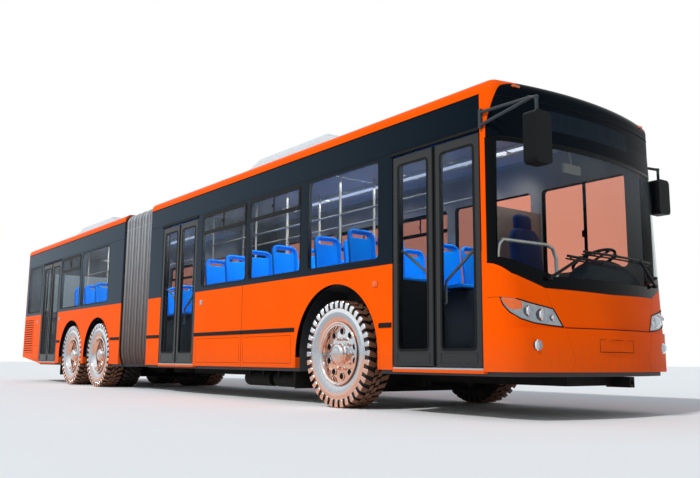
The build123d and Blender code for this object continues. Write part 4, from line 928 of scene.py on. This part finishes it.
# Painted shade: the fold attribute is 1 on the crests and 0 in the valleys, where the cloth is darkened to near
# black.
crest = node(bellows_cloth, "Attribute", attribute_name="fold", out=2)
tone = node(bellows_cloth, "MixRGB", worn, tone, colour("#5E3F32"))
strap = node(bellows_cloth, "Math", z, 2.755, 0.012, operation="COMPARE")
tone = node(bellows_cloth, "MixRGB", strap, tone, colour("#D0D2D4"))
tone = node(bellows_cloth, "MixRGB", crest, colour("#0F0D0C"), tone)
sockets = {
    "Base Color": tone,
    "Roughness": 0.55,
    "Normal": node(bellows_cloth, "Bump", named={"Height": weave, "Distance": 0.00025}),
    "Sheen Weight": 0.1,
}
node(bellows_cloth, "OutputMaterial", node(bellows_cloth, "BsdfPrincipled", named=sockets))
J0, J1 = 7842, 9031
FOLDS, FOLD_DEPTH, CLAMP_LAP = 18, 0.062, 14


def hoop_path(inset):
    half, top, r = 1.234 - inset, 3.046 - inset, 0.15 - inset * 0.5
    rise = [SKIRT + k * 0.12 for k in range(20)]
    tuck = [0.05 * max(0.0, (0.70 - z) / 0.275) ** 2 for z in rise]
    path = [(-half + t, z) for z, t in zip(rise, tuck)]
    path.append((-half, top - r))
    for k in range(1, 9):
        a = math.radians(180 - 90 * k / 8)
        path.append((-half + r + r * math.cos(a), top - r + r * math.sin(a)))
    for k in range(1, 12):
        path.append((-half + r + (2 * half - 2 * r) * k / 12, top))
    for k in range(0, 9):
        a = math.radians(90 - 90 * k / 8)
        path.append((half - r + r * math.cos(a), top - r + r * math.sin(a)))
    path.extend((half - t, z) for z, t in reversed(list(zip(rise, tuck))))
    return path


# One fold along the bus: share of its pitch, depth below the crest
FOLD = (
    (0.0, FOLD_DEPTH), (0.1, 0.058), (0.26, 0.03), (0.4, 0.004),
    (0.5, 0.0), (0.6, 0.004), (0.74, 0.03), (0.9, 0.058),
)
# Every fourth fold has the same crest; the ones between sit a little lower
CRESTS = (0.0, 0.010, 0.004, 0.014)
FOLDED_RUN = J1 - J0 - 2 * CLAMP_LAP
stations = []
for k in range(FOLDS):
    drop = CRESTS[k % 4]
    for t, inset in FOLD:
        s = J0 + CLAMP_LAP + FOLDED_RUN * (k + t) / FOLDS
        stations.append((s, inset + drop * (1 - inset / FOLD_DEPTH)))
stations.append((J1 - CLAMP_LAP, FOLD_DEPTH))
folded = bag()
skin(folded, [[(st(s), y, z) for y, z in hoop_path(inset)] for s, inset in stations], closed=False, caps=False)
m = len(hoop_path(0.0))
bellows = piece("bellows_cloth", folded, bellows_cloth, None, smooth=True)
# The fold attribute sets how far each ring lies out of the painted shade in the valleys.
fold = bellows.data.attributes.new("fold", "FLOAT", "POINT")
for i, (s, inset) in enumerate(stations):
    for k in range(m):
        fold.data[i * m + k].value = (1.0 - min(1.0, inset / FOLD_DEPTH)) ** 1.9
thick = bellows.modifiers.new("cloth", "SOLIDIFY")
thick.thickness = 0.003
thick.offset = -1.0
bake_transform(bellows)
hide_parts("bellows")
for body, s0, s1 in (("front_section", J0, J0 + 26), ("rear_section", J1 - 26, J1)):
    clamp = bag()
    path = hoop_path(-0.006)
    back = hoop_path(0.06)
    n = len(path)
    for s in (s0, s1):
        clamp[0].extend((st(s), y, z) for y, z in path)
        clamp[0].extend((st(s), y, z) for y, z in back)
    for k in range(n - 1):
        clamp[1].append((k, k + 1, n + k + 1, n + k))
        clamp[1].append((2 * n + k, 3 * n + k, 3 * n + k + 1, 2 * n + k + 1))
        clamp[1].append((k, 2 * n + k, 2 * n + k + 1, k + 1))
        clamp[1].append((n + k, n + k + 1, 3 * n + k + 1, 3 * n + k))
    piece(f"bellows_frame_{body}", clamp, frame_metal, body, smooth=True)

# Wheels: polished discs with ten nuts and hand holes filled with painted shade, on hubs with bright caps.
# Tyres are deep-lugged rubber; their outer sides are painted silver up to the tread.
# Polished metal: near mirror, with a painted sky and ground reflection in its colour: pale where it looks up to
# the sky, grey at the skyline and tan where it looks down to the ground, set by world height and normal.
def painted_sky_ground_reflection(mat, sky, skyline, ground):
    seat = node(mat, "NewGeometry")
    lift = node(mat, "SeparateXYZ", seat.node.outputs["Normal"], out=2)
    level = node(mat, "Math", node(mat, "SeparateXYZ", seat, out=2), AXLE_Z, operation="SUBTRACT")
    shift = node(mat, "Math", level, 0.62, lift, operation="MULTIPLY_ADD")
    upper = node(mat, "MixRGB", node(mat, "MapRange", shift, 0.0, 0.32), colour(skyline), colour(sky))
    return node(mat, "MixRGB", node(mat, "MapRange", shift, -0.085, 0.005), colour(ground), upper)


polished = start("polished wheel metal")
at = node(polished, "TexCoord", out=3)
scuff = node(polished, "TexNoise", at, None, per_mm(45), 4.0)
fine = node(polished, "TexNoise", at, None, per_mm(4), 3.0)
dull = painted_sky_ground_reflection(polished, "#D0D8DE", "#959DA5", "#D69F85")
bright = painted_sky_ground_reflection(polished, "#F8FBFD", "#BEC5CB", "#F8C2A9")
sockets = {
    "Base Color": node(polished, "MixRGB", scuff, dull, bright),
    "Metallic": 1.0,
    "Roughness": node(polished, "MapRange", scuff, 0.0, 1.0, 0.05, 0.16),
    "Normal": node(polished, "Bump", named={"Height": fine, "Distance": 0.00006}),
}
node(polished, "OutputMaterial", node(polished, "BsdfPrincipled", named=sockets))
for hand in ("left", "right"):
    dress(f"front_rim_{hand}", polished)
    for i in (1, 2):
        dress(f"rear_rims_{i}_{hand}", polished)
# Rubber with silver side paint: dull brown-black tread, paint worn through towards the tread and in the gaps.
# The silver carries a painted sky and ground reflection, and the outer tread tops a painted tan reflection of
# the ground.
tyre_rubber = start("lugged rubber with silver sides")
at = node(tyre_rubber, "TexCoord", out=3)
x = node(tyre_rubber, "SeparateXYZ", at)
y, z = x.node.outputs[1], x.node.outputs[2]
radius = node(tyre_rubber, "VectorMath", node(tyre_rubber, "CombineXYZ", x, 0.0, z), operation="LENGTH", out=1)
worn = node(tyre_rubber, "TexNoise", at, None, per_mm(22), 5.0)
limit = node(tyre_rubber, "MapRange", worn, 0.0, 1.0, 0.569, 0.582)
painted = node(tyre_rubber, "Math", radius, limit, operation="LESS_THAN")
outward = node(tyre_rubber, "Math", y, 0.118, operation="GREATER_THAN")
wall = node(tyre_rubber, "Math", radius, 0.494, operation="LESS_THAN")
lug_face = node(tyre_rubber, "Math", y, 0.1525, operation="GREATER_THAN")
shown = node(tyre_rubber, "Math", wall, lug_face, operation="MAXIMUM")
outer_side = node(tyre_rubber, "Math", painted, outward, operation="MULTIPLY")
silver = node(tyre_rubber, "Math", outer_side, shown, operation="MULTIPLY")
dark = node(tyre_rubber, "MixRGB", worn, colour("#15100D"), colour("#2A1F19"))
# Painted reflection: the tread tops of the outer tyre are tinted tan-brown as if they reflected the ground.
tread = node(tyre_rubber, "Math", radius, 0.572, operation="GREATER_THAN")
near = node(tyre_rubber, "Math", y, -0.2, operation="GREATER_THAN")
top = node(tyre_rubber, "Math", tread, near, operation="MULTIPLY")
tread_painted_reflection = node(tyre_rubber, "MixRGB", worn, colour("#5C3622"), colour("#8C5E46"))
dark = node(tyre_rubber, "MixRGB", top, dark, tread_painted_reflection)
dull = painted_sky_ground_reflection(tyre_rubber, "#C6D0D8", "#98A0A7", "#CE9981")
bright = painted_sky_ground_reflection(tyre_rubber, "#F4F8FB", "#C0C7CD", "#F4BFA6")
pale = node(tyre_rubber, "MixRGB", worn, dull, bright)
bare = node(tyre_rubber, "MapRange", worn, 0.0, 1.0, 0.7, 0.85)
coated = node(tyre_rubber, "MapRange", worn, 0.0, 1.0, 0.1, 0.3)
sockets = {
    "Base Color": node(tyre_rubber, "MixRGB", silver, dark, pale),
    "Metallic": node(tyre_rubber, "Math", silver, 0.85, operation="MULTIPLY"),
    "Roughness": node(tyre_rubber, "MixRGB", silver, bare, coated),
    "Normal": node(tyre_rubber, "Bump", named={"Height": worn, "Distance": 0.0006}),
}
node(tyre_rubber, "OutputMaterial", node(tyre_rubber, "BsdfPrincipled", named=sockets))
LUGS = 36
# Tyre side from bead to crown, and one lug in section: radius, across
CARCASS = (
    (0.327, 0.118), (0.345, 0.124), (0.375, 0.138), (0.415, 0.152), (0.448, 0.158), (0.456, 0.160),
    (0.464, 0.158), (0.482, 0.1535), (0.500, 0.149), (0.530, 0.146), (0.546, 0.136), (0.550, 0.10),
)
LUG = (
    (0.490, 0.146), (0.498, 0.1595), (0.556, 0.1618), (0.576, 0.1565), (0.583, 0.142), (0.583, 0.062),
    (0.546, 0.054), (0.540, 0.140),
)
BLOCK_ROWS = ((-0.028, 0.0), (0.028, 0.5))


def tyre_mesh(b, mid):
    profile = list(CARCASS) + [(0.550, 0.0)] + [(r, -y) for r, y in reversed(CARCASS)]
    lathe(b, profile, (0, mid, 0), 96, closed=True)
    v, f = b
    for side in (-1, 1):
        shift = 0.0 if side > 0 else 0.5
        for k in range(LUGS):
            a0 = 2 * math.pi * (k + shift) / LUGS
            half = 2 * math.pi / LUGS * 0.30
            n, q = len(v), len(LUG)
            for end in (-1, 1):
                for r, y in LUG:
                    w = half * (0.8 if r < 0.51 else (1.0 if y > 0.1 else 0.8))
                    a = a0 + end * w + (0.14 - y) * 0.5
                    v.append((r * math.cos(a), mid + side * y, r * math.sin(a)))
            f.append(tuple(n + i for i in range(q)))
            f.append(tuple(n + q + i for i in reversed(range(q))))
            for i in range(q):
                j = (i + 1) % q
                f.append((n + i, n + q + i, n + q + j, n + j))
    for across, shift in BLOCK_ROWS:
        for k in range(LUGS):
            a0 = 2 * math.pi * (k + shift + 0.25) / LUGS
            half = 2 * math.pi / LUGS * 0.36
            n = len(v)
            for end in (-1, 1):
                for r in (0.545, 0.581):
                    for y in (across - 0.022, across + 0.022):
                        a = a0 + end * half + y * 0.8
                        v.append((r * math.cos(a), mid + y, r * math.sin(a)))
            for q in ((0, 1, 3, 2), (4, 6, 7, 5), (0, 4, 5, 1), (2, 3, 7, 6), (0, 2, 6, 4), (1, 5, 7, 3)):
                f.append(tuple(n + i for i in q))


TYRE_MID, TWIN = 1.0575, 0.36
FLANGE = (
    (0.318, 0.118), (0.330, 0.121), (0.341, 0.128), (0.345, 0.138), (0.342, 0.146), (0.333, 0.147),
    (0.326, 0.139), (0.314, 0.128),
)


def wheel_place(s, side):
    turn = Matrix.Rotation(0.0 if side > 0 else math.pi, 4, "Z")
    return Matrix.Translation((st(s), side * TYRE_MID, AXLE_Z)) @ turn


def wheel_trim(b, holes, disc, cap):
    lathe(b, FLANGE, (0, 0, 0), 64, closed=True)
    bead = [(0.300, disc - 0.012), (0.304, disc - 0.006), (0.296, disc - 0.003), (0.290, disc - 0.011)]
    lathe(b, bead, (0, 0, 0), 64, closed=True)
    nut = [(0.024, -0.004), (0.024, 0.008), (0.0165, 0.010), (0.0165, 0.034), (0.012, 0.040), (0.0, 0.040)]
    for k in range(10):
        a = 2 * math.pi * k / 10
        x, z = 0.1675 * math.cos(a), 0.1675 * math.sin(a)
        lathe(b, [(r, disc + y) for r, y in nut], (x, 0, z), 6)
        a = 2 * math.pi * (k + 0.5) / 10
        x, z = 0.245 * math.cos(a), 0.245 * math.sin(a)
        lathe(b, [(0.029, disc - 0.016), (0.034, disc + 0.002), (0.039, disc - 0.004)], (x, 0, z), 20)
        # Painted shade: a near-black disc closes each hand hole where the dark behind the wheel disc would
        # show.
        lathe(holes, [(0.031, disc - 0.003), (0.029, disc - 0.0035), (0.0, disc - 0.0035)], (x, 0, z), 20)
    hub = [
        (0.118, disc + 0.004), (0.119, cap - 0.055), (0.108, cap - 0.045), (0.104, cap - 0.016),
        (0.096, cap - 0.006), (0.07, cap + 0.001), (0.0, cap + 0.003),
    ]
    lathe(b, hub, (0, 0, 0), 40)
    for k in range(8):
        a = 2 * math.pi * k / 8
        x, z = 0.112 * math.cos(a), 0.112 * math.sin(a)
        lathe(b, [(0.009, cap - 0.05), (0.009, cap - 0.038), (0.0, cap - 0.038)], (x, 0, z), 6)
    rod(b, [(0.262, disc - 0.01, 0.075), (0.27, disc + 0.03, 0.077), (0.275, disc + 0.055, 0.079)], 0.005, 8)


single, twin = bag(), bag()
tyre_mesh(single, 0.0)
tyre_mesh(twin, 0.0)
tyre_mesh(twin, -TWIN)
front_trim, front_holes, rear_trim, rear_holes = bag(), bag(), bag(), bag()
wheel_trim(front_trim, front_holes, 0.082, 0.166)
wheel_trim(rear_trim, rear_holes, 0.028, 0.136)
for side, hand in ((1, "left"), (-1, "right")):
    wheels = [(FRONT_AXLE, f"front_wheel_{hand}", f"front_tyre_{hand}", single, front_trim, front_holes)]
    for i, s in enumerate(REAR_AXLES, 1):
        wheels.append((s, f"rear_wheel_{i}_{hand}", f"rear_tyres_{i}_{hand}", twin, rear_trim, rear_holes))
    for s, body, stood_for, rubber_bag, trim_bag, hole_bag in wheels:
        place = wheel_place(s, side)
        tyre = piece(
            f"{body}_tyre", rubber_bag, tyre_rubber, body, edge=0.0035, smooth=True, place=place
        )
        tyre.modifiers["edges"].segments = 1
        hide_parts(stood_for)
        piece(f"{body}_trim", trim_bag, polished, body, smooth=True, place=place)
        piece(f"{body}_hand_holes", hole_bag, gap_black, body, place=place)

# Underframe and axles: black painted steel with road dirt, tanks and pipes slung between the rails.
# The rails are welded ladders; axles hang below them on springs.
# Chassis paint: dull black under a brown film of road dirt.
chassis = finish(
    "black chassis paint with road dirt", "#1B1917", 0.65, tint=0.6, patch_mm=70, grain_mm=6, depth_mm=0.3
)
iron = finish("dull engine iron", "#55585A", 0.6, metal=0.7, tint=0.25, patch_mm=60, grain_mm=4, depth_mm=0.3)
RUNNING_GEAR = (
    "front_underframe", "rear_underframe", "front_axle", "rear_axles", "knuckle_left", "knuckle_right",
)
for name in RUNNING_GEAR:
    dress(name, chassis)
dress("engine", iron)
tanks = bag()
for s, y in ((4300, 0.72), (5000, 0.72), (4300, -0.72), (5050, -0.72)):
    rod(tanks, [(st(s + d), y, 0.27) for d in (320, 300, -300, -320)], 0.105, 20)
    for d in (-180, 180):
        box(tanks, st(s + d + 18), st(s + d - 18), y - 0.112, y + 0.112, 0.27, 0.381)
piece("air_tanks", tanks, chassis, "front_section", edge=0.004, smooth=True)
pipes, rear_pipes = bag(), bag()
for y in (-0.22, 0.22):
    rod(pipes, [(st(s), y, 0.35) for s in (700, 2300, 3100, 6900)], 0.012, 8)
    rod(rear_pipes, [(st(9400), y, 0.35), (st(13800), y, 0.35)], 0.012, 8)
piece("brake_pipes", pipes, chassis, "front_section", smooth=True)
rod(rear_pipes, [(st(12500), 0.72, 0.30), (st(13300), 0.72, 0.30)], 0.12, 20)
for s in (12650, 13150):
    box(rear_pipes, st(s + 20), st(s - 20), 0.60, 0.84, 0.30, 0.381)
piece("silencer_and_pipes", rear_pipes, chassis, "rear_section", smooth=True)

# Tail: orange panel with stacked lamps, a louvred engine lid, a rubber bumper line and a grille
# in each side wall. Lamps, louvres and strips are clipped in from outside.
# Lamp stack: amber over red over clear, each with a fine grid of moulded prisms.
tail_lens = start("stacked tail lamp lens")
at = node(tail_lens, "TexCoord", out=3)
x = node(tail_lens, "SeparateXYZ", at)
z = x.node.outputs[2]
prisms = node(tail_lens, "TexVoronoi", named={"Vector": at, "Scale": per_mm(9), "Randomness": 0.0})
red = node(tail_lens, "MixRGB", prisms, colour("#E0140E"), colour("#7A0806"))
upper = node(tail_lens, "Math", z, 1.10, operation="GREATER_THAN")
roof_edge = node(tail_lens, "Math", z, 2.0, operation="LESS_THAN")
turn_lamp = node(tail_lens, "Math", upper, roof_edge, operation="MULTIPLY")
reverse_lamp = node(tail_lens, "Math", z, 0.94, operation="LESS_THAN")
lens = node(tail_lens, "MixRGB", turn_lamp, red, colour("#E8700F"))
lens = node(tail_lens, "MixRGB", reverse_lamp, lens, colour("#D9DEE0"))
sockets = {
    "Base Color": lens,
    "Roughness": 0.1,
    "Normal": node(tail_lens, "Bump", named={"Height": prisms, "Distance": 0.0005}),
    "Coat Weight": 0.6,
}
node(tail_lens, "OutputMaterial", node(tail_lens, "BsdfPrincipled", named=sockets))
dress("tail_lamps", tail_lens)
# Side grilles: stations of the ends, heights of the foot and top
s0, s1, z0, z1 = 14335, 15038, 0.612, 1.41
slats, shade = bag(), bag()
for side in (-1, 1):
    outer = rounded(st(s1), st(s0), z0, z1, 0.02)
    inner = rounded(st(s1) + 0.03, st(s0) - 0.03, z0 + 0.03, z1 - 0.03, 0.01)
    ring(slats, outer, inner, side * 1.2488, side * 1.2560)
    box(shade, st(s1 - 25), st(s0 + 25), side * 1.2490, side * 1.2506, z0 + 0.025, z1 - 0.025)
    for k in range(14):
        z = z0 + 0.036 + k * 0.0525
        rear, fore = st(s1 - 28), st(s0 + 28)
        slat = [(rear, z), (fore, z), (fore, z + 0.034), (rear, z + 0.034)]
        prism(slats, slat, side * 1.2495, side * 1.2560)
piece("side_grilles", slats, orange, "rear_section", edge=0.004)
piece("side_grille_shadow", shade, gap_black, "rear_section")


def tail_point(y, z, off):
    k = min(1.0, max(0.0, (z - 0.6) / 2.1))
    return (NOSE - 15.05 - bowed(0.33 - 0.13 * k, 6.0 + 3.0 * k, y) - off, y, z)


louvres = bag()
for k in range(9):
    z = 0.76 + k * 0.062
    rod(louvres, [tail_point(-0.6 + 0.1 * i, z, 0.001) for i in range(13)], 0.011, 8)
piece("engine_lid_louvres", louvres, plastic, "lid", smooth=True)
bumper = bag()
rod(bumper, [tail_point(-1.2 + 0.1 * i, 0.545, -0.004) for i in range(25)], 0.014, 8)
piece("tail_bumper_strip", bumper, rubber, "rear_section", smooth=True)

# Mirrors and wipers: dark plastic heads on pale steel tubes, silvered glass on the driver's side of each.
# Mirror arms bolt to the corner posts; wiper pivots come through the cowl.
# Moulded heads are dark grey; the tubes above them are painted a lighter grey.
mirror_mat = start("mirror head plastic and painted tube")
at = node(mirror_mat, "TexCoord", out=3)
x = node(mirror_mat, "SeparateXYZ", at)
grain = node(mirror_mat, "TexNoise", at, None, per_mm(1.5), 3.0)
tube = node(mirror_mat, "Math", x.node.outputs[2], 2.535, operation="GREATER_THAN")
tone = node(mirror_mat, "MixRGB", grain, colour("#0E0F10"), colour("#1A1C1E"))
sockets = {
    "Base Color": node(mirror_mat, "MixRGB", tube, tone, colour("#3F4347")),
    "Roughness": node(mirror_mat, "MapRange", grain, 0.0, 1.0, 0.3, 0.5),
    "Normal": node(mirror_mat, "Bump", named={"Height": grain, "Distance": 0.00005}),
    "Specular IOR Level": 0.06,
}
node(mirror_mat, "OutputMaterial", node(mirror_mat, "BsdfPrincipled", named=sockets))
dress("mirrors", mirror_mat)
dress("wipers", plastic)
# Wipers: pivot, elbow and tip across and up the screen
WIPERS = (((-0.80, 1.24), (-0.43, 1.44), (0.18, 1.40)), ((0.88, 1.27), (0.557, 1.497), (-0.371, 1.504)))
blades = bag()
for pivot, elbow, tip in WIPERS:
    rod(blades, [nose_point(*Vector(pivot).lerp(elbow, k / 6), 0.034) for k in range(7)], 0.014, 10)
    run = [Vector(elbow).lerp(tip, k / 12) for k in range(-3, 13)]
    rod(blades, [nose_point(*p, 0.032) for p in run], 0.012, 10)
    rod(blades, [nose_point(p.x, p.y - 0.024, 0.014) for p in run], 0.008, 8)
    for p in run[1::4]:
        rod(blades, [nose_point(*p, 0.032), nose_point(p.x, p.y - 0.024, 0.014)], 0.009, 8)
piece("wiper_blades", blades, plastic, "front_section", smooth=True)
silvered = finish("silvered mirror glass", "#D5D9DC", 0.08, metal=1.0, tint=0.02)
# Mirror glasses: station of the head's face, across, height
GLASSES = (
    ("right", -200, -1.475, -1.300, 2.105, 2.510),
    ("left", 395, 1.300, 1.475, 2.115, 2.455),
)
for name, s, y0, y1, z0, z1 in GLASSES:
    glass = bag()
    outline = rounded(y0, y1, z0, z1, 0.03)
    n = len(outline)
    for x in (st(s) - 0.004, st(s) + 0.002):
        glass[0].extend((x, y, z) for y, z in outline)
    glass[1].append(tuple(range(n)))
    glass[1].append(tuple(n + i for i in reversed(range(n))))
    for i in range(n):
        j = (i + 1) % n
        glass[1].append((i, n + i, n + j, j))
    piece(f"mirror_glass_{name}", glass, silvered, "front_section")

# Roof units: white moulded covers over fans, with joint lines, vents and guards.
# Each is bolted down to rails on the roof.
white_shell = finish("white moulded cover", "#CBD2D6", 0.35, coat=0.2, tint=0.05, patch_mm=400, grain_mm=3)
ROOF, UNIT_TOP = 3.064, 3.270
# Fairing beside a unit in section: across, height
FAIRING = ((0.70, 3.252), (0.96, 3.252), (1.02, 3.230), (1.055, 3.16), (1.065, ROOF), (0.70, ROOF))
for section, s0, s1 in (("front", 2830, 5200), ("rear", 9990, 12440)):
    dress(f"{section}_roof_unit", white_shell)
    vents = bag()
    for k in range(3):
        s = s0 + (s1 - s0) * (k + 0.5) / 3
        turn = Matrix.Translation((st(s), 0.3, UNIT_TOP)) @ Matrix.Rotation(math.radians(90), 4, "X")
        disc(vents, [(0.25, 0.0), (0.25, 0.012), (0.22, 0.014), (0.21, 0.004)], 40, turn)
        for j in range(9):
            y = 0.12 + j * 0.045
            box(vents, st(s + 210), st(s - 210), y - 0.006, y + 0.006, UNIT_TOP, 3.276)
        joint = s0 + (s1 - s0) * k / 3 + 93
        box(vents, st(joint + 3), st(joint - 3), -0.71, 0.71, 3.2695, 3.2715)
    fairing = bag()
    slopes = ((s0 + 60, 0.25), (s0 + 420, 1.0), (s1 - 420, 1.0), (s1 - 60, 0.25))
    for side in (-1, 1):
        skin(fairing, [[(st(s), side * y, ROOF + (z - ROOF) * lift) for y, z in FAIRING] for s, lift in slopes])
    body = f"{section}_section"
    piece(f"{section}_roof_fairing", fairing, white_shell, body, edge=0.012, smooth=True)
    piece(f"{section}_roof_vents", vents, stand_grey, body, smooth=True)

# Stage: a pale floor that takes the shadow, soft daylight and the camera at the photo's place.
# Matt paper-white floor: bright enough to run into the white behind, dull enough to hold the shadow.
stage_mat = finish("pale floor", "#FAFAF9", 0.9, tint=0.005, patch_mm=900, grain_mm=4, depth_mm=0.01)
bpy.ops.mesh.primitive_plane_add(size=240, location=(0, 0, -0.001))
floor = bpy.context.object
floor.data.materials.append(stage_mat)
world = bpy.data.worlds.new("daylight")
bpy.context.scene.world = world
world.use_nodes = True
world.node_tree.nodes.clear()
seen = node(world, "LightPath")
glossy, through = seen.node.outputs["Is Glossy Ray"], seen.node.outputs["Is Transmission Ray"]
mirrored_or_seen = node(world, "Math", seen, glossy, operation="MAXIMUM")
plain = node(world, "Math", mirrored_or_seen, through, operation="MAXIMUM")
height = node(world, "SeparateXYZ", node(world, "TexCoord"), out=2)
sky = node(world, "MixRGB", node(world, "MapRange", height, -0.1, 0.8), colour("#E6E2DC"), colour("#CBD8E6"))
BRIGHT_SIDE = (-0.55, -0.75, 0.35)
side_on = node(world, "VectorMath", node(world, "TexCoord"), BRIGHT_SIDE, operation="DOT_PRODUCT", out=1)
daylight = node(world, "MapRange", side_on, -1.0, 1.0, 0.22, 0.92)
power = node(world, "Math", daylight, plain, operation="MAXIMUM")
back = node(world, "Background", node(world, "MixRGB", plain, sky, colour("#FFFFFF")), power)
node(world, "OutputWorld", back)
sun_data = bpy.data.lights.new("sun", "SUN")
sun_data.energy = 1.9
sun_data.angle = math.radians(4)
sun = bpy.data.objects.new("sun", sun_data)
bpy.context.scene.collection.objects.link(sun)
sun.rotation_euler = Vector((-0.12, 0.76, -0.66)).to_track_quat("-Z", "Y").to_euler()
# Saloon lamps: stations, each a short panel under the ceiling turned back towards the seats behind it.
# Their light is kept off the stage floor, where the open foot of the bellows would let it through.
unlit = bpy.data.collections.new("kept out of the saloon light")
unlit.objects.link(floor)
unlit.collection_objects[0].light_linking.link_state = "EXCLUDE"
SALOON_LAMPS = (1750, 2400, 3300, 3950, 4600, 5250, 6300, 9300, 9850, 10450, 11050, 12200, 12900)
for s in SALOON_LAMPS:
    lamp_data = bpy.data.lights.new("saloon lamp", "AREA")
    lamp_data.shape = "RECTANGLE"
    lamp_data.size = 0.3
    lamp_data.size_y = 2.0
    lamp_data.energy = 21.0
    lamp_data.spread = math.radians(110)
    lamp = bpy.data.objects.new("saloon lamp", lamp_data)
    bpy.context.scene.collection.objects.link(lamp)
    lamp.location = (st(s), 0.0, 2.9)
    lamp.rotation_euler = (0.0, math.radians(35), 0.0)
    lamp.visible_camera = False
    lamp.visible_glossy = False
    lamp.light_linking.receiver_collection = unlit
    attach(lamp, "front_section" if s < J0 else "rear_section")
# Camera: its turn, lens and place were solved on the lines of the bus body
yaw, pitch, roll = math.radians(37.345), math.radians(8.9985), math.radians(0.443)
forward = Vector((-math.cos(yaw) * math.cos(pitch), math.sin(yaw) * math.cos(pitch), math.sin(pitch)))
right = Vector((math.sin(yaw), math.cos(yaw), 0.0))
upward = right.cross(forward)
turned_right = right * math.cos(roll) + upward * math.sin(roll)
turned_up = upward * math.cos(roll) - right * math.sin(roll)
camera_data = bpy.data.cameras.new("camera")
camera_data.lens = 39.66
camera_data.sensor_width = 36.0
camera_data.clip_end = 500.0
camera = bpy.data.objects.new("camera", camera_data)
bpy.context.scene.collection.objects.link(camera)
columns = Matrix((turned_right, turned_up, -forward)).transposed()
camera.matrix_world = Matrix.Translation((11.695, -6.280, 0.503)) @ columns.to_4x4()
bpy.context.scene.camera = camera
bpy.context.scene.view_settings.view_transform = "Standard"
